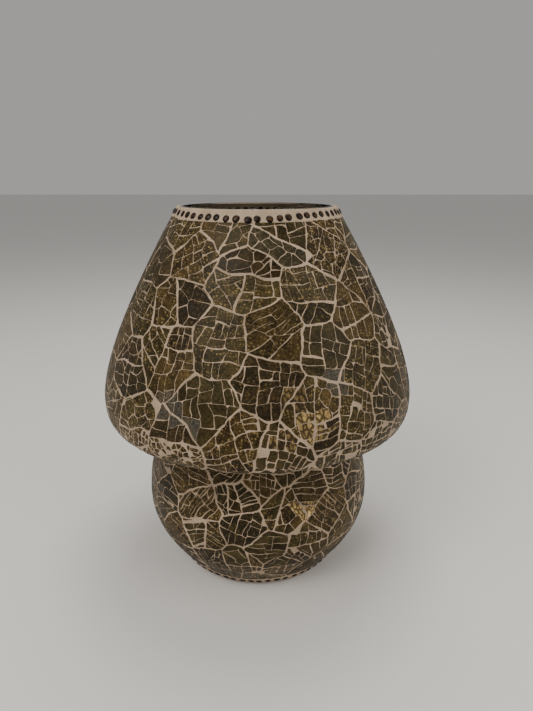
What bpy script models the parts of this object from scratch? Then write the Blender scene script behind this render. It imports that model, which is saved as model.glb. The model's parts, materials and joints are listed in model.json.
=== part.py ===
"""A mushroom-shaped mosaic glass table lamp, unlit, standing on its rubber pads.

Frame: origin on the resting plane under the lamp's axis, +Z up, -Y to the front, metres.
The vessel is one blown glass shell. Skins of grouted tesserae and two bead bands lie on it.
Inside, a steel bridge clamps the glass foot to a base plate and carries the lampholder and bulb.
"""

import math

import bmesh
import bpy
from mathutils import Matrix, Vector

MM = 0.001
GAP = 0.3 * MM                      # between pieces that touch on the real lamp

# Driving dimensions of the vessel's outer face
HEIGHT = 330 * MM
RIM_RADIUS = 67.2 * MM
SHOULDER_RADIUS = 139 * MM
SHOULDER_HEIGHT = 168 * MM
WAIST_RADIUS = 94 * MM
WAIST_HEIGHT = 134 * MM
BELLY_RADIUS = 105 * MM
BELLY_HEIGHT = 66 * MM
FOOT_RADIUS = 74 * MM
FOOT_HEIGHT = 1 * MM                # the foot's edge clears the surface that the pads rest on

MOSAIC_THICKNESS = 2.2 * MM
GLASS_THICKNESS = 3.0 * MM
TOP_BAND = 10.5 * MM                # height of the bead bands, along the wall
FOOT_BAND = 12.5 * MM
STEPS = 40                          # facets round the vessel
SMALL_STEPS = 24                    # facets round the small turned pieces

# Foot, from the resting plane up
PAD_HEIGHT = 2.5 * MM
PLATE_BOTTOM = PAD_HEIGHT + GAP
PLATE_THICKNESS = 1.2 * MM
GASKET_THICKNESS = 0.9 * MM
LIP_BOTTOM = PLATE_BOTTOM + PLATE_THICKNESS + GASKET_THICKNESS + 2 * GAP
LIP_THICKNESS = 4 * MM
LIP_RADIUS = 46 * MM                # the opening inside the turned-in glass foot
PLATE_RADIUS = 63 * MM
PAD_CIRCLE = 54 * MM
PAD_RADIUS = 6 * MM
SCREW_REACH = 38 * MM               # from the axis to each bridge screw

# Lampholder for an E27 cap: 27 mm thread, 3.629 mm pitch
BRIDGE_TOP = 26 * MM
BRIDGE_THICKNESS = 1.5 * MM
BRIDGE_WIDTH = 20 * MM
NIPPLE_RADIUS = 5 * MM
NIPPLE_BORE = 3.7 * MM
NIPPLE_BOTTOM = 17 * MM
NIPPLE_TOP = 38 * MM
HOLDER_BOTTOM = BRIDGE_TOP + 1.0 * MM + 2 * GAP
HOLDER_RADIUS = 19.5 * MM
HOLDER_SPLIT = HOLDER_BOTTOM + 18 * MM
HOLDER_TOP = HOLDER_BOTTOM + 56 * MM
INSERT_BOTTOM = NIPPLE_TOP + 1.5 * MM
INSERT_TOP = INSERT_BOTTOM + 12 * MM
INSERT_RADIUS = 16.2 * MM
SOCKET_RADIUS = 13.7 * MM           # inside the screw shell

# Bulb, standing fully screwed in
CONTACT_BOTTOM = INSERT_TOP + 2.6 * MM
CAP_RADIUS = 13.0 * MM
CAP_BOTTOM = CONTACT_BOTTOM + 4.8 * MM
CAP_TOP = CAP_BOTTOM + 21 * MM
BULB_RADIUS = 30 * MM
BULB_LENGTH = 105 * MM
FILAMENTS = 4

# Cable inlet at the back of the bowl
INLET_HEIGHT = 50 * MM
INLET_HOLE = 7.0 * MM
INLET_BORE = 4.3 * MM


def clear_scene():
    for obj in list(bpy.data.objects):
        bpy.data.objects.remove(obj, do_unlink=True)


def new_collection(name):
    collection = bpy.data.collections.new(name)
    bpy.context.scene.collection.children.link(collection)
    return collection


def material(name, colour, roughness, metallic=0.0, alpha=1.0):
    made = bpy.data.materials.new(name)
    made.use_nodes = True
    shader = made.node_tree.nodes["Principled BSDF"]
    shader.inputs["Base Color"].default_value = (*colour, 1)
    shader.inputs["Roughness"].default_value = roughness
    shader.inputs["Metallic"].default_value = metallic
    shader.inputs["Alpha"].default_value = alpha
    made.diffuse_color = (*colour, alpha)
    return made


# ---------------------------------------------------------------- outline of the vessel


def bezier(start, handle_a, handle_b, end, count):
    """Points of a cubic curve from start up to, but not including, end."""
    points = []
    for step in range(count):
        t = step / count
        weights = ((1 - t) ** 3, 3 * t * (1 - t) ** 2, 3 * t**2 * (1 - t), t**3)
        knots = (start, handle_a, handle_b, end)
        points.append(
            (
                sum(w * k[0] for w, k in zip(weights, knots)),
                sum(w * k[1] for w, k in zip(weights, knots)),
            )
        )
    return points


def vessel_outline():
    """(radius, height) down the outer face of the mosaic, rim first. The waist is its narrowest point."""
    rim = (RIM_RADIUS, HEIGHT)
    shoulder = (SHOULDER_RADIUS, SHOULDER_HEIGHT)
    crease = (WAIST_RADIUS + 5 * MM, WAIST_HEIGHT + 5 * MM)
    waist = (WAIST_RADIUS, WAIST_HEIGHT)
    belly = (BELLY_RADIUS, BELLY_HEIGHT)
    foot = (FOOT_RADIUS, FOOT_HEIGHT)
    shade_side = bezier(
        rim,
        (rim[0] + 7 * MM, rim[1] - 12 * MM),
        (shoulder[0], shoulder[1] + 46 * MM),
        shoulder,
        7,
    )
    underside = bezier(
        shoulder,
        (shoulder[0], shoulder[1] - 25 * MM),
        (crease[0] + 29 * MM, crease[1] + 7.5 * MM),
        crease,
        6,
    )
    fold = bezier(
        crease,
        (crease[0] - 3.5 * MM, crease[1] - 1 * MM),
        (waist[0], waist[1] + 3 * MM),
        waist,
        2,
    )
    bowl_top = bezier(
        waist,
        (waist[0], waist[1] - 14 * MM),
        (belly[0], belly[1] + 32 * MM),
        belly,
        4,
    )
    bowl_side = bezier(
        belly,
        (belly[0], belly[1] - 28 * MM),
        (foot[0] + 10 * MM, foot[1] + 16 * MM),
        foot,
        7,
    )
    return shade_side + underside + fold + bowl_top + bowl_side + [foot]


def inset(outline, depth):
    """The outline moved by depth towards the inside of the vessel, its ends kept at the same heights."""
    moved = []
    for index, (radius, height) in enumerate(outline):
        before = outline[max(index - 1, 0)]
        after = outline[min(index + 1, len(outline) - 1)]
        along = Vector((after[0] - before[0], after[1] - before[1])).normalized()
        at_end = index in (0, len(outline) - 1)
        fall = 0 if at_end else along.x * depth
        slant = depth / along.y if at_end else along.y * depth
        moved.append((radius + slant, height - fall))
    return moved


def lengths(outline):
    """Distance along the outline at each of its points."""
    total = [0.0]
    for a, b in zip(outline, outline[1:]):
        total.append(total[-1] + math.dist(a, b))
    return total


def stretch(outline, start, end):
    """Places (segment, share of it) along the outline, from one distance along it to another."""
    total = lengths(outline)

    def place(distance):
        index = max(i for i in range(len(total) - 1) if total[i] <= distance or i == 0)
        return index, (distance - total[index]) / (total[index + 1] - total[index])

    inner = [(i, 0.0) for i, d in enumerate(total[:-1]) if start + GAP < d < end - GAP]
    return [place(start)] + inner + [place(end)]


def at_places(outline, places):
    points = []
    for index, share in places:
        a, b = outline[index], outline[index + 1]
        points.append((a[0] + (b[0] - a[0]) * share, a[1] + (b[1] - a[1]) * share))
    return points


# ---------------------------------------------------------------- makers of solids


def object_from(name, mesh, finish, collection):
    made = bpy.data.objects.new(name, mesh)
    made.data.materials.clear()
    made.data.materials.append(finish)
    collection.objects.link(made)
    return made


def turned(name, outline, finish, collection, steps=STEPS, closed=True):
    """Turns an outline about Z. It runs down the outer side, and back up the inner side if closed."""
    mesh = bpy.data.meshes.new(name)
    count = len(outline)
    edges = [(i, i + 1) for i in range(count - 1)] + ([(count - 1, 0)] if closed else [])
    mesh.from_pydata([(r, 0, z) for r, z in outline], edges, [])
    made = object_from(name, mesh, finish, collection)
    screw = made.modifiers.new("turn", "SCREW")
    screw.axis = "Z"
    screw.angle = math.tau
    screw.steps = screw.render_steps = steps
    screw.use_merge_vertices = True
    screw.merge_threshold = 1e-6
    screw.use_smooth_shade = True
    return made


def skin(name, outline, start, end, finish, collection):
    """A turned layer of the mosaic's thickness under a stretch of the outline."""
    places = stretch(outline, start, end)
    outer = at_places(outline, places)
    inner = at_places(inset(outline, MOSAIC_THICKNESS), places)
    return turned(name, outer + inner[::-1], finish, collection)


def tube(name, outer, inner, bottom, top, finish, collection, steps=SMALL_STEPS):
    profile = [(outer, top), (outer, bottom), (inner, bottom), (inner, top)]
    return turned(name, profile, finish, collection, steps)


def disc(name, radius, bottom, top, finish, collection, steps=SMALL_STEPS):
    profile = [(0, top), (radius, top), (radius, bottom), (0, bottom)]
    return turned(name, profile, finish, collection, steps, closed=False)


def at_place(made, x, y, z=0.0):
    made.location = (x, y, z)
    return made


def prism(name, sides, across, depth, finish, collection):
    """A prism with its foot at the origin, such as a nut's outside. across is over the flats."""
    mesh = bpy.data.meshes.new(name)
    shape = bmesh.new()
    radius = across / 2 / math.cos(math.pi / sides)
    bmesh.ops.create_cone(
        shape,
        cap_ends=True,
        segments=sides,
        radius1=radius,
        radius2=radius,
        depth=depth,
        matrix=Matrix.Translation((0, 0, depth / 2)),
    )
    shape.to_mesh(mesh)
    shape.free()
    return object_from(name, mesh, finish, collection)


def box(name, size, centre, finish, collection, bevel=0.0):
    mesh = bpy.data.meshes.new(name)
    shape = bmesh.new()
    bmesh.ops.create_cube(shape, size=1, matrix=Matrix.Diagonal((*size, 1)))
    shape.to_mesh(mesh)
    shape.free()
    made = object_from(name, mesh, finish, collection)
    made.location = centre
    if bevel:
        rounded = made.modifiers.new("edges", "BEVEL")
        rounded.width = bevel
        rounded.segments = 1
    return made


def cutter(name, radius, bottom, top, collection, steps=SMALL_STEPS):
    made = disc(name, radius, bottom, top, bpy.data.materials["cutter"], collection, steps)
    made.hide_render = True
    made.display_type = "WIRE"
    return made


def cut(made, tool):
    boolean = made.modifiers.new(tool.name, "BOOLEAN")
    boolean.operation = "DIFFERENCE"
    boolean.solver = "EXACT"
    boolean.object = tool
    return made


def wire(name, points, radius, finish, collection, cyclic=False):
    """A round wire through the points. Two-sided caps close it where it isn't a ring."""
    curve = bpy.data.curves.new(name, "CURVE")
    curve.dimensions = "3D"
    curve.bevel_depth = radius
    curve.bevel_resolution = 1
    curve.use_fill_caps = not cyclic
    spline = curve.splines.new("POLY")
    spline.points.add(len(points) - 1)
    for target, point in zip(spline.points, points):
        target.co = (*point, 1)
    spline.use_cyclic_u = cyclic
    curve.materials.append(finish)
    made = bpy.data.objects.new(name, curve)
    collection.objects.link(made)
    return made


# ---------------------------------------------------------------- vessel and mosaic


def make_vessel(lamp, outline):
    """The blown glass shell: its foot turns in to a flat lip that the base plate closes."""
    depth = MOSAIC_THICKNESS + GAP
    outer = inset(outline, depth)
    inner = inset(outline, depth + GLASS_THICKNESS)
    lip_top = LIP_BOTTOM + LIP_THICKNESS
    rise = [p for p in inner if p[1] > lip_top + 2 * MM]
    edge, bottom = outer[-1]
    foot = [
        (edge - 3.5 * MM, bottom),
        (edge - 5.5 * MM, LIP_BOTTOM),
        (LIP_RADIUS, LIP_BOTTOM),
        (LIP_RADIUS, lip_top),
        (rise[-1][0] - 5 * MM, lip_top),
    ]
    return turned("glass_body", outer + foot + rise[::-1], bpy.data.materials["clear_glass"], lamp)


def make_mosaic(lamp, outline):
    """Skins of tesserae and grout, and the two bead bands, end to end down the vessel."""
    total = lengths(outline)
    waist = total[outline.index((WAIST_RADIUS, WAIST_HEIGHT))]
    end = total[-1]
    grout = bpy.data.materials["bead_band"]
    tiles = bpy.data.materials["mosaic"]
    skin("top_bead_band", outline, 0, TOP_BAND, grout, lamp)
    skin("shade_mosaic", outline, TOP_BAND + GAP, waist - GAP, tiles, lamp)
    bowl = skin("bowl_mosaic", outline, waist + GAP, end - FOOT_BAND - GAP, tiles, lamp)
    skin("foot_bead_band", outline, end - FOOT_BAND, end, grout, lamp)
    return bowl


def wall_at(outline, height):
    """(radius, slope) of the bowl's outer face at a height; slope is the tilt of its normal below level."""
    for a, b in zip(outline, outline[1:]):
        if a[1] >= height >= b[1] and a[1] < WAIST_HEIGHT:
            t = (a[1] - height) / (a[1] - b[1])
            return a[0] + (b[0] - a[0]) * t, math.atan2(a[0] - b[0], a[1] - b[1])


def make_inlet(lamp, cutters, outline, glass, bowl):
    """A rubber grommet, square to the wall, in a hole drilled through the back of the bowl."""
    radius, tilt = wall_at(outline, INLET_HEIGHT)
    wall = MOSAIC_THICKNESS + GAP + GLASS_THICKNESS
    middle = Vector((0, radius, INLET_HEIGHT)) - Vector((0, math.cos(tilt), -math.sin(tilt))) * wall / 2
    turn = Matrix.Rotation(-(math.pi / 2 + tilt), 4, "X")
    place = Matrix.Translation(middle) @ turn
    outside = wall / 2 + 0.75 * MM
    inside = -wall / 2 - 1.6 * MM       # the inner flange stands clear of the curved wall
    flange, edge, neck = 1.4 * MM, INLET_HOLE + 2.2 * MM, INLET_HOLE - GAP
    profile = [
        (edge - 0.6 * MM, outside + flange),
        (edge, outside + flange / 2),
        (edge, outside),
        (neck, outside),
        (neck, inside),
        (edge, inside),
        (edge, inside - flange / 2),
        (edge - 0.6 * MM, inside - flange),
        (INLET_BORE, inside - flange),
        (INLET_BORE, outside + flange),
    ]
    grommet = turned(
        "cable_grommet", profile, bpy.data.materials["black_rubber"], lamp, SMALL_STEPS
    )
    grommet.matrix_world = place
    drill = cutter("inlet_drill", INLET_HOLE, -12 * MM, 12 * MM, cutters)
    drill.matrix_world = place
    cut(glass, drill)
    cut(bowl, drill)


# ---------------------------------------------------------------- base


def make_base(lamp, cutters):
    steel = bpy.data.materials["zinc_steel"]
    rubber = bpy.data.materials["black_rubber"]
    plate_top = PLATE_BOTTOM + PLATE_THICKNESS
    dark = bpy.data.materials["dark_plate"]
    plate = disc("base_plate", PLATE_RADIUS, PLATE_BOTTOM, plate_top, dark, lamp, STEPS)
    tube("base_gasket", PLATE_RADIUS - 1 * MM, LIP_RADIUS + 3 * MM, plate_top + GAP,
         plate_top + GAP + GASKET_THICKNESS, rubber, lamp, STEPS)
    for index in range(4):
        angle = math.radians(45 + 90 * index)
        x, y = PAD_CIRCLE * math.cos(angle), PAD_CIRCLE * math.sin(angle)
        profile = [(0, PAD_HEIGHT), (PAD_RADIUS, PAD_HEIGHT), (PAD_RADIUS - 0.8 * MM, 0), (0, 0)]
        at_place(turned(f"foot_pad_{index + 1}", profile, rubber, lamp, 16, closed=False), x, y)
    make_bridge(lamp, cutters, plate, steel, rubber)


def make_bridge(lamp, cutters, plate, steel, rubber):
    """A hat-shaped strap along X. Its ends press on the glass lip through pads, and two screws pull it down."""
    lip_top = LIP_BOTTOM + LIP_THICKNESS
    pad_top = lip_top + GAP + 1.2 * MM
    low = pad_top + GAP
    high = BRIDGE_TOP - BRIDGE_THICKNESS
    reach, knee, crown = LIP_RADIUS + 12 * MM, SCREW_REACH - 7 * MM, 18 * MM
    middle_line = [(-reach, low), (-knee, low), (-crown, high), (crown, high), (knee, low), (reach, low)]
    mesh = bpy.data.meshes.new("clamp_bridge")
    half = BRIDGE_WIDTH / 2
    points = [(x, side * half, z) for x, z in middle_line for side in (-1, 1)]
    faces = [(2 * i, 2 * i + 2, 2 * i + 3, 2 * i + 1) for i in range(len(middle_line) - 1)]
    mesh.from_pydata(points, [], faces)
    bridge = object_from("clamp_bridge", mesh, steel, lamp)
    wall = bridge.modifiers.new("sheet", "SOLIDIFY")
    wall.thickness = BRIDGE_THICKNESS
    wall.offset = 1
    wall.use_even_offset = True
    cut(bridge, cutter("nipple_hole", NIPPLE_RADIUS + GAP, high - 5 * MM, BRIDGE_TOP + 5 * MM, cutters))
    for index, side in enumerate((-1, 1)):
        x = side * SCREW_REACH
        hole = at_place(cutter(f"screw_hole_{index + 1}", 2.3 * MM, 0, low + 5 * MM, cutters, 16), x, 0)
        cut(bridge, hole)
        cut(plate, hole)
        head_top = PLATE_BOTTOM - GAP
        profile = [
            (0, low + BRIDGE_THICKNESS + 5.5 * MM),
            (1.5 * MM, low + BRIDGE_THICKNESS + 5.5 * MM),
            (2.0 * MM, low + BRIDGE_THICKNESS + 5.0 * MM),
            (2.0 * MM, head_top),
            (4.0 * MM, head_top),
            (3.4 * MM, head_top - 1.7 * MM),
            (0, head_top - 1.9 * MM),
        ]
        at_place(turned(f"bridge_screw_{index + 1}", profile, steel, lamp, 16, closed=False), x, 0)
        nut = prism(f"bridge_nut_{index + 1}", 6, 7 * MM, 3.2 * MM, steel, lamp)
        at_place(nut, x, 0, low + BRIDGE_THICKNESS + GAP)
        cut(nut, at_place(cutter(f"nut_bore_{index + 1}", 2.3 * MM, 0, 30 * MM, cutters, 16), x, 0))
        pad_x = side * (reach - 5.5 * MM)
        box(f"bridge_pad_{index + 1}", (10 * MM, BRIDGE_WIDTH, 1.2 * MM),
            (pad_x, 0, lip_top + GAP + 0.6 * MM), rubber, lamp)


# ---------------------------------------------------------------- lampholder


def make_nipple(lamp, cutters):
    steel = bpy.data.materials["zinc_steel"]
    tube("nipple", NIPPLE_RADIUS, NIPPLE_BORE, NIPPLE_BOTTOM, NIPPLE_TOP, steel, lamp)
    nut_top = BRIDGE_TOP - BRIDGE_THICKNESS - GAP
    nut = prism("nipple_nut", 6, 14 * MM, 3 * MM, steel, lamp)
    at_place(nut, 0, 0, nut_top - 3 * MM)
    cut(nut, cutter("nipple_nut_bore", NIPPLE_RADIUS + GAP, NIPPLE_BOTTOM - 2 * MM, NIPPLE_TOP, cutters))
    tube("lock_washer", 8.5 * MM, NIPPLE_RADIUS + GAP, BRIDGE_TOP + GAP, BRIDGE_TOP + GAP + 1.0 * MM - GAP,
         steel, lamp)


def make_holder(lamp, cutters):
    shell_plastic = bpy.data.materials["bakelite"]
    porcelain = bpy.data.materials["porcelain"]
    brass = bpy.data.materials["brass"]
    wall = 1.8 * MM
    inside = HOLDER_RADIUS - wall
    cap = turned(
        "holder_cap",
        [
            (HOLDER_RADIUS - 1 * MM, HOLDER_SPLIT),
            (HOLDER_RADIUS - 1 * MM, HOLDER_BOTTOM + 11 * MM),
            (HOLDER_RADIUS - 4 * MM, HOLDER_BOTTOM + 5 * MM),
            (9.5 * MM, HOLDER_BOTTOM + 1.5 * MM),
            (8.5 * MM, HOLDER_BOTTOM),
            (NIPPLE_RADIUS + GAP, HOLDER_BOTTOM),
            (NIPPLE_RADIUS + GAP, HOLDER_BOTTOM + 9 * MM),
            (9.0 * MM, HOLDER_BOTTOM + 9 * MM),
            (9.6 * MM, HOLDER_BOTTOM + 6 * MM),
            (HOLDER_RADIUS - 6 * MM, HOLDER_BOTTOM + 7.5 * MM),
            (inside - 1.5 * MM, HOLDER_BOTTOM + 11 * MM),
            (inside - 1.5 * MM, HOLDER_SPLIT),
        ],
        shell_plastic,
        lamp,
        32,
    )
    lock_hole = cutter("lock_screw_hole", 1.8 * MM, 0, HOLDER_RADIUS + GAP, cutters, 12)
    lock_hole.matrix_world = (
        Matrix.Translation((0, 0, HOLDER_BOTTOM + 3.4 * MM)) @ Matrix.Rotation(math.pi / 2, 4, "X")
    )
    cut(cap, lock_hole)
    lock = disc("holder_lock_screw", 1.5 * MM, NIPPLE_RADIUS + GAP, 12.5 * MM,
                bpy.data.materials["zinc_steel"], lamp, 12)
    lock.matrix_world = lock_hole.matrix_world.copy()

    tube("holder_insert", INSERT_RADIUS - 0.6 * MM, 3.2 * MM, INSERT_BOTTOM, INSERT_TOP, porcelain, lamp)
    screw_shell = [
        (SOCKET_RADIUS + 0.5 * MM, HOLDER_TOP - 6 * MM),
        (SOCKET_RADIUS + 0.5 * MM, INSERT_TOP + GAP),
        (SOCKET_RADIUS - 4 * MM, INSERT_TOP + GAP),
        (SOCKET_RADIUS - 4 * MM, INSERT_TOP + GAP + 0.5 * MM),
        (SOCKET_RADIUS, INSERT_TOP + GAP + 0.5 * MM),
        (SOCKET_RADIUS, HOLDER_TOP - 6 * MM),
    ]
    turned("holder_screw_shell", screw_shell, brass, lamp, SMALL_STEPS)
    wire_strip(
        "centre_contact",
        [(-6 * MM, INSERT_TOP + GAP), (-1 * MM, CONTACT_BOTTOM - 0.9 * MM), (3 * MM, CONTACT_BOTTOM - 0.9 * MM)],
        5 * MM,
        0.5 * MM,
        brass,
        lamp,
    )
    for index, side in enumerate((-1, 1)):
        screw = disc(f"terminal_screw_{index + 1}", 1.6 * MM, -3.6 * MM, 0, brass, lamp, 12)
        at_place(screw, side * 11.5 * MM, 0, INSERT_BOTTOM - GAP)
    outer = [
        (HOLDER_RADIUS - 1.2 * MM, HOLDER_TOP),
        (HOLDER_RADIUS, HOLDER_TOP - 1.2 * MM),
        (HOLDER_RADIUS, HOLDER_SPLIT + GAP),
        (inside, HOLDER_SPLIT + GAP),
        (inside, HOLDER_TOP - 4 * MM),
        (SOCKET_RADIUS + 1 * MM, HOLDER_TOP - 3 * MM),
        (SOCKET_RADIUS + 1 * MM, HOLDER_TOP),
    ]
    turned("holder_shell", outer, shell_plastic, lamp, 32)


def wire_strip(name, line, width, thickness, finish, collection):
    """A bent flat strip: the line in the XZ plane, given width along Y and thickness upwards."""
    mesh = bpy.data.meshes.new(name)
    points = [(x, side * width / 2, z) for x, z in line for side in (-1, 1)]
    faces = [(2 * i, 2 * i + 2, 2 * i + 3, 2 * i + 1) for i in range(len(line) - 1)]
    mesh.from_pydata(points, [], faces)
    made = object_from(name, mesh, finish, collection)
    sheet = made.modifiers.new("sheet", "SOLIDIFY")
    sheet.thickness = thickness
    sheet.offset = 1
    return made


# ---------------------------------------------------------------- bulb


def make_bulb(lamp):
    """A pear-shaped bulb of filament sticks. Its own origin is on the thread's axis."""
    brass = bpy.data.materials["brass"]
    clear = bpy.data.materials["bulb_glass"]
    top = CONTACT_BOTTOM + BULB_LENGTH
    centre = top - BULB_RADIUS
    neck = CAP_RADIUS - 0.5 * MM - GAP
    disc("bulb_contact", 4.5 * MM, CONTACT_BOTTOM, CONTACT_BOTTOM + 1.2 * MM,
         bpy.data.materials["solder"], lamp, 16)
    turned(
        "bulb_insulator",
        [
            (0, CAP_BOTTOM - GAP),
            (10.5 * MM, CAP_BOTTOM - GAP),
            (6.5 * MM, CONTACT_BOTTOM + 1.2 * MM + GAP),
            (0, CONTACT_BOTTOM + 1.2 * MM + GAP),
        ],
        bpy.data.materials["vitrite"],
        lamp,
        SMALL_STEPS,
        closed=False,
    )
    cap_wall = 0.5 * MM
    turned(
        "bulb_cap",
        [
            (CAP_RADIUS, CAP_TOP),
            (CAP_RADIUS, CAP_BOTTOM + 1.5 * MM),
            (10.8 * MM, CAP_BOTTOM),
            (10.2 * MM, CAP_BOTTOM + 0.3 * MM),
            (CAP_RADIUS - cap_wall, CAP_BOTTOM + 1.9 * MM),
            (CAP_RADIUS - cap_wall, CAP_TOP),
        ],
        brass,
        lamp,
        SMALL_STEPS,
    )
    outer = [(BULB_RADIUS * math.sin(a), centre + BULB_RADIUS * math.cos(a))
             for a in (math.radians(18 * i) for i in range(6))]
    outer += bezier(
        (BULB_RADIUS, centre),
        (BULB_RADIUS, centre - 20 * MM),
        (neck, CAP_TOP + 20 * MM),
        (neck, CAP_TOP),
        5,
    )
    outer += [(neck, CAP_TOP), (neck, CAP_TOP - 12 * MM)]
    glass = turned("bulb_envelope", outer, clear, lamp, SMALL_STEPS, closed=False)
    wall = glass.modifiers.new("wall", "SOLIDIFY")
    wall.thickness = 0.8 * MM
    wall.offset = -1
    stem_foot = CAP_TOP - 11 * MM
    turned(
        "bulb_stem",
        [
            (0, stem_foot + 46 * MM),
            (1.6 * MM, stem_foot + 45 * MM),
            (1.6 * MM, stem_foot + 24 * MM),
            (4.0 * MM, stem_foot + 18 * MM),
            (4.0 * MM, stem_foot + 8 * MM),
            (neck - 1.4 * MM, stem_foot + 1.5 * MM),
            (neck - 1.4 * MM, stem_foot),
            (0, stem_foot),
        ],
        clear,
        lamp,
        16,
        closed=False,
    )
    make_filaments(lamp, stem_foot)


def make_filaments(lamp, stem_foot):
    """Sticks that lean inwards towards the top, between two wire rings round the stem."""
    low, high = stem_foot + 22 * MM, stem_foot + 58 * MM
    wide, narrow = 9.5 * MM, 4.5 * MM
    metal = bpy.data.materials["zinc_steel"]
    for name, radius, height in (("filament_ring_lower", wide, low), ("filament_ring_upper", narrow, high)):
        angles = [math.tau * i / 16 for i in range(16)]
        ring = [(radius * math.cos(a), radius * math.sin(a), height) for a in angles]
        wire(name, ring, 0.4 * MM, metal, lamp, cyclic=True)
    for index in range(FILAMENTS):
        angle = math.tau * (index + 0.5) / FILAMENTS
        ends = []
        for radius, height in ((wide, low + 0.4 * MM + 2 * GAP), (narrow, high - 0.4 * MM - 2 * GAP)):
            ends.append((radius * math.cos(angle), radius * math.sin(angle), height))
        wire(f"filament_{index + 1}", ends, 0.9 * MM, bpy.data.materials["phosphor"], lamp)


# ---------------------------------------------------------------- main


def make_materials():
    material("cutter", (0.8, 0.2, 0.2), 0.5)
    material("clear_glass", (0.85, 0.88, 0.85), 0.05, alpha=0.35)
    material("mosaic", (0.10, 0.075, 0.035), 0.2)
    material("bead_band", (0.66, 0.58, 0.50), 0.85)
    material("black_rubber", (0.02, 0.02, 0.02), 0.7)
    material("dark_plate", (0.05, 0.05, 0.05), 0.4, 0.6)
    material("zinc_steel", (0.62, 0.62, 0.60), 0.35, 1.0)
    material("bakelite", (0.02, 0.018, 0.016), 0.35)
    material("porcelain", (0.85, 0.83, 0.78), 0.3)
    material("brass", (0.80, 0.60, 0.26), 0.3, 1.0)
    material("solder", (0.55, 0.55, 0.55), 0.4, 1.0)
    material("vitrite", (0.01, 0.01, 0.012), 0.15)
    material("bulb_glass", (0.95, 0.95, 0.95), 0.02, alpha=0.3)
    material("phosphor", (0.85, 0.62, 0.12), 0.6)


def main():
    clear_scene()
    make_materials()
    lamp = new_collection("mosaic_table_lamp")
    cutters = new_collection("cutters")
    outline = vessel_outline()
    glass = make_vessel(lamp, outline)
    bowl = make_mosaic(lamp, outline)
    make_inlet(lamp, cutters, outline, glass, bowl)
    make_base(lamp, cutters)
    make_nipple(lamp, cutters)
    make_holder(lamp, cutters)
    make_bulb(lamp)


main()
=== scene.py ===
import json
import math
import random

import bmesh
import bpy
import numpy as np
from bpy.props import FloatProperty, FloatVectorProperty, IntProperty, PointerProperty
from mathutils import Matrix, Vector, noise

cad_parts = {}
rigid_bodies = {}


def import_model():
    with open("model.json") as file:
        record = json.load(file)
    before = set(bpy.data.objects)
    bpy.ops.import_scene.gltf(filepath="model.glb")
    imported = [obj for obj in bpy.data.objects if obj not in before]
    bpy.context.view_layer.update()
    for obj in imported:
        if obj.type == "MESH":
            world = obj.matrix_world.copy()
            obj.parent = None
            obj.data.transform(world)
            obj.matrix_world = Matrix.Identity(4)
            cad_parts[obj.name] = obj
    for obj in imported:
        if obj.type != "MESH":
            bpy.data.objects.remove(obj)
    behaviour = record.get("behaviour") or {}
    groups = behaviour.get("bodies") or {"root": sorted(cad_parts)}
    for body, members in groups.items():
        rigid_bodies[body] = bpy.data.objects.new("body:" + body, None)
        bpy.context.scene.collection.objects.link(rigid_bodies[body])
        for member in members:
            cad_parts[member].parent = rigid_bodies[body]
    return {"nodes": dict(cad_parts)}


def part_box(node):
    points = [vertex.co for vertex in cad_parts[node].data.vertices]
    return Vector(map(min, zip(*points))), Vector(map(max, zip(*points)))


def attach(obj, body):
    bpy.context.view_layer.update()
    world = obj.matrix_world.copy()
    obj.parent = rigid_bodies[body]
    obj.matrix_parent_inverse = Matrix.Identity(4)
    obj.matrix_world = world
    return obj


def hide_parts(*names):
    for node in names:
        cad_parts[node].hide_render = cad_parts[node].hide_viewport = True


bl_info = {
    "name": "Mosaic Glass Table Lamp",
    "version": (1, 0, 0),
    "blender": (4, 5, 0),
    "location": "3D View > Sidebar > Lamp",
    "description": "Builds a mushroom-shaped mosaic glass lamp round its packed frame",
    "category": "Add Mesh",
}

MM = 0.001
TURN = math.tau
MERGE = 1e-7  # points closer than this are one
TOUCH = 1e-9  # points closer than this to a line are on it
BODY = "lamp_body"
BULB = "bulb"
BULB_PITCH = 3.629 * MM

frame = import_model()


# ---------------------------------------------------------------- the vessel's wall


def bezier(start, handle_a, handle_b, end, count):
    """Points of a cubic curve from start up to, but not including, end."""
    t = np.linspace(0, 1, count, endpoint=False)[:, None]
    knots = [np.array(k) for k in (start, handle_a, handle_b, end)]
    return (
        (1 - t) ** 3 * knots[0]
        + 3 * t * (1 - t) ** 2 * knots[1]
        + 3 * t**2 * (1 - t) * knots[2]
        + t**3 * knots[3]
    )


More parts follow.
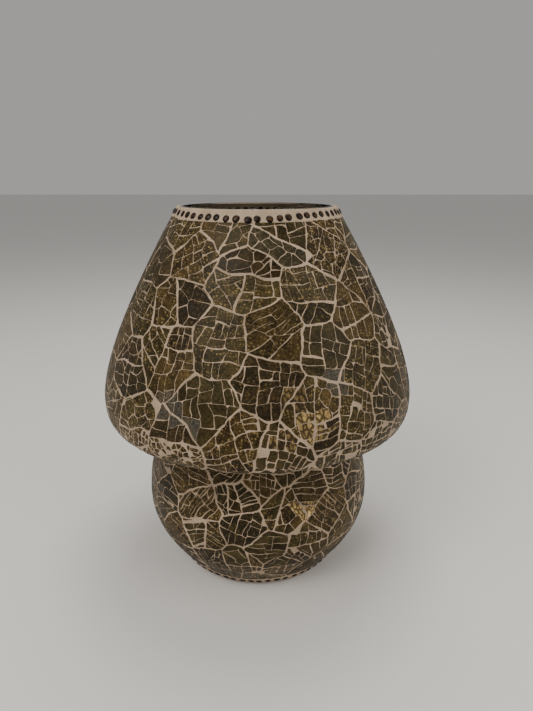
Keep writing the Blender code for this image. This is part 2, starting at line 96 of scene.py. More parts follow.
class Wall:
    """The outer face of the mosaic as a line turned about Z, foot first.

    A place on it is (angle, rise), where rise grows by length / radius, so that small shapes
    keep their angles. Depth is measured square to the face, towards the inside.
    """

    def __init__(self, samples=120):
        rim_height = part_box("top_bead_band")[1].z
        shoulder_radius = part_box("shade_mosaic")[1].x
        belly_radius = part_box("bowl_mosaic")[1].x
        foot_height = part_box("foot_bead_band")[0].z
        rim = (67.2 * MM, rim_height)
        shoulder = (shoulder_radius, 168 * MM)
        crease = (99 * MM, 139 * MM)
        waist = (94 * MM, 134 * MM)
        belly = (belly_radius, 66 * MM)
        foot = (74 * MM, foot_height)
        curves = [
            (rim, (74.2 * MM, rim[1] - 12 * MM), (shoulder[0], 214 * MM), shoulder),
            (shoulder, (shoulder[0], 143 * MM), (128 * MM, 146.5 * MM), crease),
            (crease, (95.5 * MM, 138 * MM), (94 * MM, 137 * MM), waist),
            (waist, (94 * MM, 120 * MM), (belly[0], 98 * MM), belly),
            (belly, (belly[0], 38 * MM), (84 * MM, 17 * MM), foot),
        ]
        counts = [samples, samples, samples // 4, samples, samples]
        line = np.concatenate([bezier(*c, n) for c, n in zip(curves, counts)] + [[foot]])[::-1]
        self.line = line
        step = np.linalg.norm(np.diff(line, axis=0), axis=1)
        self.length = np.concatenate([[0], np.cumsum(step)])
        middle = (line[1:, 0] + line[:-1, 0]) / 2
        self.rise = np.concatenate([[0], np.cumsum(step / middle)])
        along = np.gradient(line, self.length, axis=0)
        along /= np.linalg.norm(along, axis=1)[:, None]
        self.normal = np.stack([along[:, 1], -along[:, 0]], axis=1)
        self.waist = float(np.interp(waist[1], line[:, 1], self.length))
        self.crease = float(np.interp(crease[1], line[:, 1], self.length))
        self.end = float(self.length[-1])

    def rise_at(self, length):
        return np.interp(length, self.length, self.rise)

    def radius_at(self, rise):
        return np.interp(rise, self.rise, self.line[:, 0])

    def height_at(self, rise):
        return np.interp(rise, self.rise, self.line[:, 1])

    def length_at(self, rise):
        return np.interp(rise, self.rise, self.length)

    def slope_at(self, rise):
        """(outwards, upwards) parts of the normal."""
        out = np.interp(rise, self.rise, self.normal[:, 0])
        up = np.interp(rise, self.rise, self.normal[:, 1])
        size = np.hypot(out, up)
        return out / size, up / size

    def points(self, angle, rise, depth=0.0):
        angle, rise = np.asarray(angle, float), np.asarray(rise, float)
        out, up = self.slope_at(rise)
        radius = self.radius_at(rise) - depth * out
        height = self.height_at(rise) - depth * up
        return np.stack([radius * np.cos(angle), radius * np.sin(angle), height], axis=-1)

    def normals(self, angle, rise):
        angle = np.asarray(angle, float)
        out, up = self.slope_at(rise)
        return np.stack([out * np.cos(angle), out * np.sin(angle), up + 0 * angle], axis=-1)


WALL = Wall()


# ---------------------------------------------------------------- settings


def length(name, text, default, low, high):
    """A setting given in millimetres."""
    return FloatProperty(
        name=name, description=text, unit="LENGTH", default=default * MM, min=low * MM, max=high * MM)


def colour_of(name, text, default):
    return FloatVectorProperty(name=name, description=text, subtype="COLOR", default=default)


class MosaicSettings(bpy.types.PropertyGroup):
    seed: IntProperty(name="Seed", description="Picks another break pattern", default=11, min=0)
    cluster: length("Cluster", "Spacing of the broken sheets on the shade", 34, 10, 90)
    shard: length("Shard", "Usual width of one shard on the shade", 10.2, 4, 40)
    joint: length("Joint", "Width of the grout between clusters", 0.90, 0.5, 6)
    crack: length("Crack", "Width of the grout between shards of a cluster", 0.48, 0.2, 3)
    thickness: length("Thickness", "Depth of shards and grout over the glass", 2.2, 1, 4)
    grout_fall: length("Grout fall", "How far the grout lies below the shards", 0.06, 0, 1.5)


class BeadSettings(bpy.types.PropertyGroup):
    rim_count: IntProperty(name="Rim beads", description="Beads round the rim", default=57, min=8)
    foot_count: IntProperty(name="Foot beads", description="Beads round the foot", default=61, min=8)
    size: length("Bead", "Width of a bead", 6.5, 2, 10)
    waver: length("Waver", "How far the hand-set rows rise and fall", 2.0, 0, 3)


class GlassSettings(bpy.types.PropertyGroup):
    wall: length("Wall", "Thickness of the blown glass", 3, 1.5, 5)
    gap: length("Gap", "Between pieces that touch", 0.3, 0.05, 1)


class ColourSettings(bpy.types.PropertyGroup):
    grout: colour_of("Grout", "Sandy grout", (0.42, 0.318, 0.222))
    umber: colour_of("Umber", "Darkest shards", (0.018, 0.011, 0.003))
    bronze: colour_of("Bronze", "Lightest shards", (0.052, 0.034, 0.011))
    olive: colour_of("Olive", "Greenish shards", (0.034, 0.027, 0.009))
    gold: colour_of("Gold", "Flecks in the shards", (0.55, 0.38, 0.15))
    # amber is the colour of the painted highlight at each bead's crown
    amber: colour_of("Amber", "Heart of a bead", (0.12, 0.052, 0.014))


class StageSettings(bpy.types.PropertyGroup):
    key: FloatProperty(name="Key light", description="Power of the main soft light", default=14.0)
    fill: FloatProperty(name="Fill light", description="Power of the second soft light", default=6.0)
    sky: FloatProperty(name="Sky", description="Strength of the even light", default=0.38)


class LampSettings(bpy.types.PropertyGroup):
    mosaic: PointerProperty(type=MosaicSettings)
    beads: PointerProperty(type=BeadSettings)
    glass: PointerProperty(type=GlassSettings)
    colours: PointerProperty(type=ColourSettings)
    stage: PointerProperty(type=StageSettings)


def settings():
    return bpy.context.scene.mosaic_lamp


# ---------------------------------------------------------------- node materials


class Finish:
    """A node material with one Principled shader, and short calls for the nodes behind it."""

    def __init__(self, name, colour=(0.8, 0.8, 0.8), **sockets):
        self.material = bpy.data.materials.new(name)
        self.material.use_nodes = True
        self.nodes = self.material.node_tree.nodes
        self.links = self.material.node_tree.links
        self.shader = self.nodes["Principled BSDF"]
        self.shader.inputs["Base Color"].default_value = (*colour, 1)
        for socket, value in sockets.items():
            label = socket.replace("_", " ").title().replace("Ior", "IOR")
            self.shader.inputs[label].default_value = value
        self.material.diffuse_color = (*colour, 1)
        self.place = self.nodes.new("ShaderNodeTexCoord").outputs["Object"]

    def plug(self, socket, value):
        if isinstance(value, bpy.types.NodeSocket):
            self.links.new(value, socket)
        else:
            socket.default_value = value

    def attribute(self, name):
        node = self.nodes.new("ShaderNodeAttribute")
        node.attribute_name = name
        return node

    def uv(self, name):
        node = self.nodes.new("ShaderNodeUVMap")
        node.uv_map = name
        return node.outputs["UV"]

    def scaled(self, source, scale):
        node = self.nodes.new("ShaderNodeMapping")
        node.inputs["Scale"].default_value = scale
        self.links.new(source, node.inputs["Vector"])
        return node.outputs["Vector"]

    def noise(self, scale, detail=3.0, source=None, roughness=0.55, distortion=0.0):
        node = self.nodes.new("ShaderNodeTexNoise")
        node.inputs["Scale"].default_value = scale
        node.inputs["Detail"].default_value = detail
        node.inputs["Roughness"].default_value = roughness
        node.inputs["Distortion"].default_value = distortion
        self.links.new(source or self.place, node.inputs["Vector"])
        return node.outputs["Fac"]

    def cells(self, scale, source=None, feature="F1", jitter=1.0):
        node = self.nodes.new("ShaderNodeTexVoronoi")
        node.feature = feature
        node.inputs["Scale"].default_value = scale
        node.inputs["Randomness"].default_value = jitter
        self.links.new(source or self.place, node.inputs["Vector"])
        return node.outputs["Distance"]

    def ramp(self, source, *stops):
        """stops are (place, value or colour)."""
        node = self.nodes.new("ShaderNodeValToRGB")
        marks = node.color_ramp.elements
        while len(marks) < len(stops):
            marks.new(0.5)
        for mark, (place, value) in zip(marks, stops):
            mark.position = place
            mark.color = (*value, 1) if hasattr(value, "__len__") else (value, value, value, 1)
        self.links.new(source, node.inputs["Fac"])
        return node.outputs["Color"]

    def maths(self, operation, a, b=0.0):
        node = self.nodes.new("ShaderNodeMath")
        node.operation = operation
        self.plug(node.inputs[0], a)
        self.plug(node.inputs[1], b)
        return node.outputs[0]

    def mix(self, share, a, b, blend="MIX"):
        node = self.nodes.new("ShaderNodeMix")
        node.data_type = "RGBA"
        node.blend_type = blend
        self.plug(node.inputs["Factor"], share)
        for socket, value in ((node.inputs[6], a), (node.inputs[7], b)):
            self.plug(socket, (*value, 1) if isinstance(value, tuple) else value)
        return node.outputs[2]

    def split(self, colour):
        node = self.nodes.new("ShaderNodeSeparateColor")
        self.links.new(colour, node.inputs[0])
        return node.outputs

    def bump(self, height, distance, strength=1.0, after=None):
        node = self.nodes.new("ShaderNodeBump")
        node.inputs["Distance"].default_value = distance
        node.inputs["Strength"].default_value = strength
        self.links.new(height, node.inputs["Height"])
        if after is not None:
            self.links.new(after, node.inputs["Normal"])
        return node.outputs["Normal"]

    def wear(self, socket, value):
        self.links.new(value, self.shader.inputs[socket])


def grout_finish():
    colour = tuple(settings().colours.grout)
    made = Finish("sandy_grout", colour, roughness=0.92, specular_ior_level=0.25)
    dark = tuple(c * 0.72 for c in colour)
    pale = tuple(min(1.0, c * 1.13) for c in colour)
    broad = made.ramp(made.noise(38, 4), (0.30, dark), (0.62, pale))
    sand = made.noise(1500, 2, roughness=0.7)
    grain = made.ramp(sand, (0.30, 0.80), (0.62, 1.06))
    speck = made.ramp(made.cells(900), (0.10, 0.55), (0.22, 1.0))
    tone = made.mix(1.0, made.mix(0.9, broad, grain, "MULTIPLY"), speck, "MULTIPLY")
    made.wear("Base Color", tone)
    lumps = made.bump(made.noise(260, 3), 0.35 * MM, 0.55)
    made.wear("Normal", made.bump(sand, 0.12 * MM, 0.9, lumps))
    return made.material


def shard_finish():
    """Cast and rolled glass in browns, with a painted sheen of pale glints mixed into the colour.
    Attributes: tint (colour), kind (ribs, flecks, share of painted sheen, chance).
    """
    made = Finish("shard_glass", (0.05, 0.03, 0.012), roughness=0.3, specular_ior_level=0.12)
    tint = made.attribute("tint").outputs["Color"]
    kind = made.attribute("kind")
    ribs, flecks, painted_sheen = made.split(kind.outputs["Color"])[:3]
    chance = kind.outputs["Alpha"]
    sheet = made.uv("sheet")
    fine = made.noise(560, 3, sheet, 0.65)
    broad = made.noise(95, 2, sheet, 0.5, 0.6)
    cloudy = made.mix(0.8, tint, made.ramp(broad, (0.32, 0.42), (0.68, 1.6)), "MULTIPLY")
    grainy = made.mix(0.7, cloudy, made.ramp(fine, (0.36, 0.40), (0.66, 1.9)), "MULTIPLY")
    dots = made.ramp(made.cells(430, sheet, jitter=0.5), (0.20, 1.0), (0.46, 0.0))
    patch = made.ramp(made.noise(230, 2, sheet), (0.40, 0.05), (0.64, 1.0))
    spark = made.maths("MULTIPLY", made.maths("MULTIPLY", dots, patch), flecks)
    gold = tuple(settings().colours.gold)
    shown = made.mix(made.maths("MULTIPLY", spark, 0.62), grainy, gold)
    stretched = made.scaled(sheet, (1.0, 0.6, 1.0))
    panes = made.cells(270, stretched, "DISTANCE_TO_EDGE", 0.85)
    furrow = made.maths("MULTIPLY", made.ramp(panes, (0.05, 1.0), (0.16, 0.0)), ribs)
    ribbed = made.mix(made.maths("MULTIPLY", furrow, 0.85), shown, (0.014, 0.010, 0.005))
    # painted sheen: pale blue-grey and warm glint colours go into the base colour where the sheen share of
    # kind and the glossy grain are high, in place of iridescent highlights
    painted_glints = made.ramp(
        made.noise(70, 1, sheet, 0.4, 0.8),
        (0.34, (0.075, 0.085, 0.095)), (0.50, (0.13, 0.125, 0.105)),
        (0.58, (0.15, 0.11, 0.085)), (0.68, (0.085, 0.095, 0.085)),
    )
    glossy = made.ramp(fine, (0.42, 0.15), (0.62, 1.0))
    painted_glint_share = made.maths("MULTIPLY", made.maths("MULTIPLY", painted_sheen, 0.75), glossy)
    made.wear("Base Color", made.mix(painted_glint_share, ribbed, painted_glints))
    made.wear("Metallic", made.maths("MULTIPLY", spark, 0.3))
    rough = made.maths("ADD", made.maths("MULTIPLY", fine, 0.30), 0.20)
    made.wear("Roughness", made.maths("ADD", rough, made.maths("MULTIPLY", chance, 0.14)))
    dimples = made.bump(made.noise(260, 2, sheet), 0.5 * MM, 0.5)
    ribbing = made.bump(furrow, -0.7 * MM, 0.6, dimples)
    made.wear("Normal", made.bump(made.maths("ADD", fine, spark), 0.20 * MM, 0.8, ribbing))
    return made.material


def bead_finish():
    """Dark amber glass with a painted highlight: lighter towards the crown of each bead, near black
    elsewhere. Attributes: crown, tone.
    """
    made = Finish("bead_glass", (0.05, 0.02, 0.006), roughness=0.30, specular_ior_level=0.18)
    crown = made.attribute("crown").outputs["Fac"]
    tone = made.attribute("tone").outputs["Fac"]
    amber = tuple(settings().colours.amber)
    heart = made.mix(made.ramp(tone, (0.45, 0.0), (1.0, 1.0)), tuple(c * 0.22 for c in amber), amber)
    # painted highlight: the lit amber heart shows only near the crown of the dome
    painted_crown_highlight = made.ramp(crown, (0.80, 0.0), (1.0, 1.0))
    swirl = made.ramp(made.noise(420, 2), (0.35, 0.35), (0.65, 1.2))
    lit = made.mix(1.0, heart, swirl, "MULTIPLY")
    made.wear("Base Color", made.mix(painted_crown_highlight, (0.006, 0.003, 0.0015), lit))
    made.wear("Normal", made.bump(made.noise(300, 2), 0.10 * MM, 0.4))
    return made.material


def clear_finish(name, tint, ripple=0.0):
    made = Finish(name, tint, roughness=0.0, ior=1.45, transmission_weight=1.0)
    if ripple:
        made.wear("Normal", made.bump(made.noise(26, 2), ripple, 0.5))
    made.wear("Roughness", made.ramp(made.noise(60, 3), (0.45, 0.0), (0.75, 0.06)))
    return made.material


def rubber_finish():
    made = Finish("black_rubber", (0.018, 0.017, 0.016), roughness=0.75, specular_ior_level=0.35)
    dusty = made.ramp(made.noise(400, 3), (0.3, (0.012, 0.011, 0.011)), (0.7, (0.035, 0.033, 0.031)))
    made.wear("Base Color", dusty)
    made.wear("Normal", made.bump(made.noise(1400, 2), 0.08 * MM, 0.6))
    return made.material


def metal_finish(name, colour, roughness, grain=700, spread=0.3, dirt=0.7):
    made = Finish(name, colour, roughness=roughness, metallic=1.0)
    dull = tuple(c * dirt for c in colour)
    made.wear("Base Color", made.ramp(made.noise(90, 4), (0.34, dull), (0.60, colour)))
    streaks = made.noise(grain, 3, made.scaled(made.place, (1, 1, 0.12)))
    low, high = roughness * (1 - spread), roughness * (1 + spread)
    made.wear("Roughness", made.ramp(streaks, (0.25, low), (0.75, high)))
    made.wear("Normal", made.bump(streaks, 0.03 * MM, 0.5))
    return made.material


def plastic_finish(name, colour, roughness, speckle=1.35):
    made = Finish(name, colour, roughness=roughness)
    pale = tuple(min(1.0, c * speckle) for c in colour)
    made.wear("Base Color", made.ramp(made.noise(650, 4), (0.35, colour), (0.72, pale)))
    made.wear("Roughness", made.ramp(made.noise(150, 3), (0.3, roughness * 0.8), (0.7, roughness * 1.25)))
    made.wear("Normal", made.bump(made.noise(900, 2), 0.04 * MM, 0.5))
    return made.material


def make_finishes():
    metal_finish("zinc_steel", (0.56, 0.56, 0.55), 0.34)
    metal_finish("dark_plate", (0.055, 0.054, 0.052), 0.42, 500, 0.35, 0.6)
    metal_finish("brass", (0.72, 0.50, 0.20), 0.26)
    metal_finish("solder", (0.55, 0.55, 0.56), 0.38)
    plastic_finish("bakelite", (0.016, 0.013, 0.011), 0.30)
    plastic_finish("porcelain", (0.80, 0.78, 0.72), 0.22, 1.05)
    plastic_finish("vitrite", (0.010, 0.010, 0.013), 0.12, 1.5)
    plastic_finish("phosphor", (0.80, 0.52, 0.06), 0.55, 1.15)
    clear_finish("bulb_glass", (0.99, 0.98, 0.96))
    clear_finish("clear_glass", (0.93, 0.95, 0.93), 0.5 * MM)
    rubber_finish()
    grout_finish()
    shard_finish()
    bead_finish()


def finish(name):
    return bpy.data.materials[name]


# ---------------------------------------------------------------- making meshes


def placed(name, data):
    """A new object in the scene."""
    made = bpy.data.objects.new(name, data)
    bpy.context.scene.collection.objects.link(made)
    return made


def new_piece(name, points, faces, material):
    mesh = bpy.data.meshes.new(name)
    mesh.from_pydata([tuple(p) for p in points], [], [tuple(f) for f in faces])
    mesh.materials.append(finish(material))
    mesh.shade_smooth()
    return placed(name, mesh)


def face_out(made, angle, matrix=None):
    """Merges doubles and turns every face outwards. Edges sharper than angle, in degrees, stay crisp."""
    shape = bmesh.new()
    shape.from_mesh(made.data)
    bmesh.ops.remove_doubles(shape, verts=shape.verts, dist=MERGE)
    if matrix:
        bmesh.ops.transform(shape, matrix=matrix, verts=shape.verts)
    bmesh.ops.recalc_face_normals(shape, faces=shape.faces)
    for edge in shape.edges:
        edge.smooth = edge.calc_face_angle(0) < math.radians(angle)
    shape.to_mesh(made.data)
    shape.free()
    return made


def settle(made, body, slot, *nodes):
    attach(made, body)
    if nodes:
        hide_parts(*nodes)
    return made


def lathe(name, profile, material, sides=64, centre=(0, 0), matrix=None, angle=35, ripple=None):
    """A closed ring from a closed profile, or a solid where the profile starts and ends on the axis.

    ripple(angle, radius, height) is added to the radius.
    """
    profile = [(float(r), float(z)) for r, z in profile]
    ring = profile[0][0] > MERGE or profile[-1][0] > MERGE
    points, faces = [], []
    for turn in (TURN * i / sides for i in range(sides)):
        for radius, height in profile:
            more = ripple(turn, radius, height) if ripple and radius > MERGE else 0
            points.append(((radius + more) * math.cos(turn), (radius + more) * math.sin(turn), height))
    count = len(profile)
    last = count if ring else count - 1
    for i in range(sides):
        a, b = i * count, (i + 1) % sides * count
        for j in range(last):
            k = (j + 1) % count
            faces.append((a + j, b + j, b + k, a + k))
    place = matrix or Matrix.Translation((*centre, 0))
    return face_out(new_piece(name, points, faces, material), angle, place)


def rounded(profile, radius, closed=True):
    """The profile with each corner turned into a small arc."""
    count, steps = len(profile), 3
    points = []
    for index, corner in enumerate(profile):
        corner = Vector(corner)
        if not closed and index in (0, count - 1):
            points.append(tuple(corner))
            continue
        before, after = Vector(profile[index - 1]), Vector(profile[(index + 1) % count])
        room = min(radius, (before - corner).length / 2.2, (after - corner).length / 2.2)
        start = corner + (before - corner).normalized() * room
        end = corner + (after - corner).normalized() * room
        for step in range(steps + 1):
            t = step / steps
            points.append(tuple((1 - t) ** 2 * start + 2 * t * (1 - t) * corner + t**2 * end))
    return points


def bored(made, tool):
    """The piece with the tool's solid cut away, and the tool removed."""
    cut = made.modifiers.new("bore", "BOOLEAN")
    cut.operation = "DIFFERENCE"
    cut.solver = "EXACT"
    cut.object = tool
    apply_modifiers(made)
    bpy.data.objects.remove(tool, do_unlink=True)
    return made


def apply_modifiers(made):
    graph = bpy.context.evaluated_depsgraph_get()
    graph.update()
    mesh = bpy.data.meshes.new_from_object(made.evaluated_get(graph), depsgraph=graph)
    old = made.data
    made.modifiers.clear()
    made.data = mesh
    mesh.name = made.name
    bpy.data.meshes.remove(old)
    return made


# ---------------------------------------------------------------- break pattern


def reach_of(points, direction):
    """How far flat points lie along a direction, the same to the last digit in every run."""
    return points[..., 0] * direction[0] + points[..., 1] * direction[1]


def area_of(shape):
    x, y = shape[:, 0], shape[:, 1]
    return abs(sum(x * np.roll(y, -1) - y * np.roll(x, -1))) / 2


def centre_of(shape):
    return shape.mean(axis=0)


def clip(shape, point, direction):
    """What is left of a convex shape behind the line through point that faces in direction."""
    side = reach_of(shape - point, direction)
    side[abs(side) < TOUCH] = 0
    if (side <= 0).all():
        return shape
    if (side >= 0).all():
        return shape[:0]
    kept = []
    for i in range(len(shape)):
        j = (i + 1) % len(shape)
        if side[i] <= 0:
            kept.append(shape[i])
        if side[i] * side[j] < 0:
            t = side[i] / (side[i] - side[j])
            kept.append(shape[i] + (shape[j] - shape[i]) * t)
    return np.array(kept)


def shrink(draw, shape, distances, lean):
    """A convex shape, turning left, with each side moved in by its own distance and tapered a little."""
    result = shape
    for i in range(len(shape)):
        a, b = shape[i], shape[(i + 1) % len(shape)]
        along = b - a
        size = np.hypot(*along)
        if size < TOUCH:
            continue
        out = np.array([along[1], -along[0]]) / size
        taper = max(-0.7, min(0.7, draw.gauss(0, lean) * size / max(distances[i], 1e-6))) * distances[i]
        start = a - out * (distances[i] + taper)
        end = b - out * (distances[i] - taper)
        along = end - start
        out = np.array([along[1], -along[0]]) / np.hypot(*along)
        result = clip(result, start, out)
        if len(result) < 3:
            return result[:0]
    return result


def scatter(draw, spacing, low, high, tries):
    """Points in a box at least spacing apart."""
    found = []
    for _ in range(tries):
        point = np.array([draw.uniform(low[0], high[0]), draw.uniform(low[1], high[1])])
        if found:
            near = np.hypot(*(np.array(found) - point).T).min()
            if near < spacing:
                continue
        found.append(point)
    return np.array(found)


def cells_of(shape, seeds):
    """The convex shape shared out among the seeds, each taking what is nearest to it."""
    shared = []
    for i, seed in enumerate(seeds):
        cell = shape
        order = np.argsort(np.hypot(*(seeds - seed).T))
        for j in order[1:14]:
            other = seeds[j]
            cell = clip(cell, (seed + other) / 2, (other - seed))
            if len(cell) < 3:
                break
        if len(cell) >= 3:
            shared.append(cell)
    return shared


def snapped(draw, shape, size, angle):
    """A convex shape cut again and again across its longer side, as with a glass cutter."""
    if area_of(shape) < size * size * draw.uniform(0.8, 1.9) or len(shape) < 3:
        return [shape]
    axes = [np.array([math.cos(a), math.sin(a)]) for a in (angle, angle + math.pi / 2)]
    spans = [reach_of(shape, axis).max() - reach_of(shape, axis).min() for axis in axes]
    pick = 0 if spans[0] > spans[1] * draw.uniform(0.75, 1.2) else 1
    axis = axes[pick]
    low = reach_of(shape, axis).min()
    at = low + spans[pick] * draw.uniform(0.34, 0.66)
    lean = draw.gauss(0, 0.10)
    turned = np.array([
        axis[0] * math.cos(lean) - axis[1] * math.sin(lean),
        axis[0] * math.sin(lean) + axis[1] * math.cos(lean),
    ])
    middle = centre_of(shape)
    point = middle + axis * (at - reach_of(middle, axis))
    near, far = clip(shape, point, turned), clip(shape, point, -turned)
    if len(near) < 3 or len(far) < 3:
        return [shape]
    return snapped(draw, near, size, angle) + snapped(draw, far, size, angle)


def softened(draw, shape, corner, reach):
    """Corners cut off and long sides given middle points, ready to be bent."""
    points = []
    count = len(shape)
    for i in range(count):
        before, here, after = shape[i - 1], shape[i], shape[(i + 1) % count]
        back, on = before - here, after - here
        size_back, size_on = np.hypot(*back), np.hypot(*on)
        chipped = draw.random() < 0.14
        cut = corner * (draw.uniform(2.5, 5.0) if chipped else draw.uniform(0.5, 1.5))
        points.append(here + back * min(cut / max(size_back, TOUCH), 0.3))
        points.append(here + on * min(cut / max(size_on, TOUCH), 0.3))
        middles = int(size_on / reach)
        for step in range(middles):
            t = (step + 1) / (middles + 1)
            points.append(here + on * t)
    kept = [points[0]]
    for point in points[1:]:
        if np.hypot(*(point - kept[-1])) > 0.25 * MM:
            kept.append(point)
    if np.hypot(*(kept[-1] - kept[0])) <= 0.25 * MM:
        kept.pop()
    return np.array(kept)


class Shard:
    """One piece of glass: its outline as (angle, rise), and what its sheet looks like."""

    def __init__(self, outline, sheet, kind, tint, chance):
        self.outline, self.sheet = outline, sheet
        self.kind, self.tint, self.chance = kind, tint, chance


# (waves in a metre, offset, shift in millimetres) of the curves in sheets, cracks and chipped edges
BENDS = ((22, (0, 0, 0), 3.6), (62, (3, 8, 1), 2.9), (190, (7, 3, 5), 0.85), (530, (0, 0, 0), 0.42))


def bent(outline):
    """The outline shifted a little by smooth waves, so that sheets and cracks curve."""
    places = WALL.points(outline[:, 0], outline[:, 1])
    radius = WALL.radius_at(outline[:, 1])
    moved = outline.copy()
    for index, place in enumerate(places):
        shift = Vector((0, 0, 0))
        for waves, offset, size in BENDS:
            shift += noise.noise_vector(Vector(place) * waves + Vector(offset)) * size * MM
        moved[index, 0] += shift.x / radius[index]
        moved[index, 1] += shift.y / radius[index]
    return moved


# sheets that stand out, as (degrees round the lamp, height, reach, look); the looks paint highlights,
# reflections and sheen into the colour, partly over the glass's own gilt and ribbing, and those on the front
# sit where the highlights fell
HIGHLIGHT_ACCENTS = (
    (-72, 184 * MM, 13 * MM, "gilt_and_highlight"),
    (-82, 176 * MM, 9 * MM, "ribbed"),
    (-77, 205 * MM, 8 * MM, "ribbed"),
    (-62, 211 * MM, 9 * MM, "painted_sheen"),
    (-119, 195 * MM, 14 * MM, "painted_sheen"),
    (-108, 184 * MM, 9 * MM, "painted_sheen"),
    (-103, 180 * MM, 2 * MM, "red_glint"),
    (-69, 93 * MM, 10 * MM, "gilt_and_highlight"),
    (35, 200 * MM, 14 * MM, "gilt_and_highlight"),
    (120, 190 * MM, 13 * MM, "painted_sheen"),
    (170, 90 * MM, 11 * MM, "gilt_and_highlight"),
)


def highlight_accent_at(place):
    for degrees, height, reach, look in HIGHLIGHT_ACCENTS:
        angle = math.radians(degrees)
        flat = Vector((place[0], place[1]))
        spot = Vector((math.cos(angle), math.sin(angle))) * flat.length
        if Vector((*(flat - spot), place[2] - height)).length < reach:
            return look
    return None


def look_of(draw):
    """(kind, tint) of a sheet: kind is ribs, flecks and shimmer."""
    colours = settings().colours
    umber, bronze, olive = (np.array(c) for c in (colours.umber, colours.bronze, colours.olive))
    share = draw.random()
    tint = umber + (bronze - umber) * draw.betavariate(3.6, 3.0)
    if share < 0.42:
        tint = tint * 0.4 + olive * 0.6 * draw.uniform(0.7, 1.2)
    elif share < 0.50:
        tint = tint * 0.7 + np.array([0.012, 0.013, 0.009]) * draw.uniform(0.5, 1.1)
    pick = draw.random()
    ribs = draw.uniform(0.5, 1.0) if pick < 0.20 else 0.0
    flecks = draw.uniform(0.45, 0.95) if pick > 0.55 else draw.uniform(0.05, 0.35)
    return (ribs, flecks, 0.0), tint


def dressed(draw, kind, tint, outline):
    """The look of one shard of a sheet, changed where an accent takes it in: gold, ribbed, reddish and sheen
    tints, brighter than the plain shards, that paint highlights and reflections into the colour, the gold
    partly the glass's own gilt.
    """
    middle = outline.mean(axis=0)
    look = highlight_accent_at(WALL.points(middle[0], middle[1]))
    # partly gilt glass, partly a painted highlight in a bright gold tint
    if look == "gilt_and_highlight":
        return (1.0, 0.0, 0.0), np.array([0.46, 0.31, 0.12]) * draw.uniform(0.45, 1.1)
    # painted highlight: a bright ribbed tint
    if look == "ribbed":
        return (1.0, 0.1, 0.0), np.array([0.15, 0.10, 0.038])
    # painted glint: a reddish speck
    if look == "red_glint":
        return (0.0, 0.0, 0.2), np.array([0.35, 0.04, 0.05])
    # painted sheen: a lighter tint and a share of the painted glints
    if look == "painted_sheen":
        return (0.25, 0.3, draw.uniform(0.35, 0.8)), tint + 0.012
    return kind, tint


def sheets_of(draw, low, high, cluster):
    """Convex cells that share out a zone: uneven cells, the larger ones snapped across."""
    seeds = []
    for _ in range(7000):
        point = np.array([draw.uniform(0, TURN), draw.uniform(low, high)])
        radius = float(WALL.radius_at(point[1]))
        room = cluster * 1.35 / radius * draw.uniform(0.62, 1.15)
        if seeds:
            apart = np.array(seeds) - point
            apart[:, 0] = (apart[:, 0] + math.pi) % TURN - math.pi
            if np.hypot(*apart.T).min() < room:
                continue
        seeds.append(point)
    seeds = np.array(seeds)
    around = np.concatenate([seeds, seeds + [TURN, 0], seeds - [TURN, 0]])
    for place in seeds:
        radius = float(WALL.radius_at(place[1]))
        reach = 3.0 * cluster / radius
        bottom, top = max(low, place[1] - reach), min(high, place[1] + reach)
        cell = np.array([
            [place[0] - reach, bottom], [place[0] + reach, bottom],
            [place[0] + reach, top], [place[0] - reach, top],
        ])
        order = np.argsort(np.hypot(*(around - place).T))
        for j in order[1:22]:
            cell = clip(cell, (place + around[j]) / 2, around[j] - place)
            if len(cell) < 3:
                break
        if len(cell) >= 3:
            radius = float(WALL.radius_at(centre_of(cell)[1]))
            own = random.Random(draw.getrandbits(32))
            yield from snapped(own, cell, cluster * own.uniform(0.8, 1.25) / radius, own.gauss(0, 0.25))


def slivers_of(draw, sheet, size):
    """A sheet broken into long thin convex parts that lean one way."""
    lean = draw.gauss(0.75, 0.35) * draw.choice((-1, 1))
    across = np.array([math.cos(lean), math.sin(lean)])
    along = np.array([-math.sin(lean), math.cos(lean)])
    narrow, wide = 0.52, 1.6
    squeezed = np.stack([reach_of(sheet, across) * narrow, reach_of(sheet, along) * wide], axis=-1)
    parts = snapped(draw, squeezed, size, draw.gauss(0, 0.1))
    return [part[:, :1] / narrow * across + part[:, 1:] / wide * along for part in parts]


def parts_of(draw, sheet, size, straight):
    """A sheet broken into convex parts, by straight cuts or by crazing."""
    if straight:
        return snapped(draw, sheet, size, draw.gauss(0, 0.22))
    parts = []
    for piece in snapped(draw, sheet, size * 2.6, draw.uniform(0, math.pi)):
        low, high = piece.min(axis=0), piece.max(axis=0)
        spots = scatter(draw, size * draw.uniform(0.62, 0.86), low, high, 60)
        parts += cells_of(piece, spots) if len(spots) > 1 else [piece]
    return parts


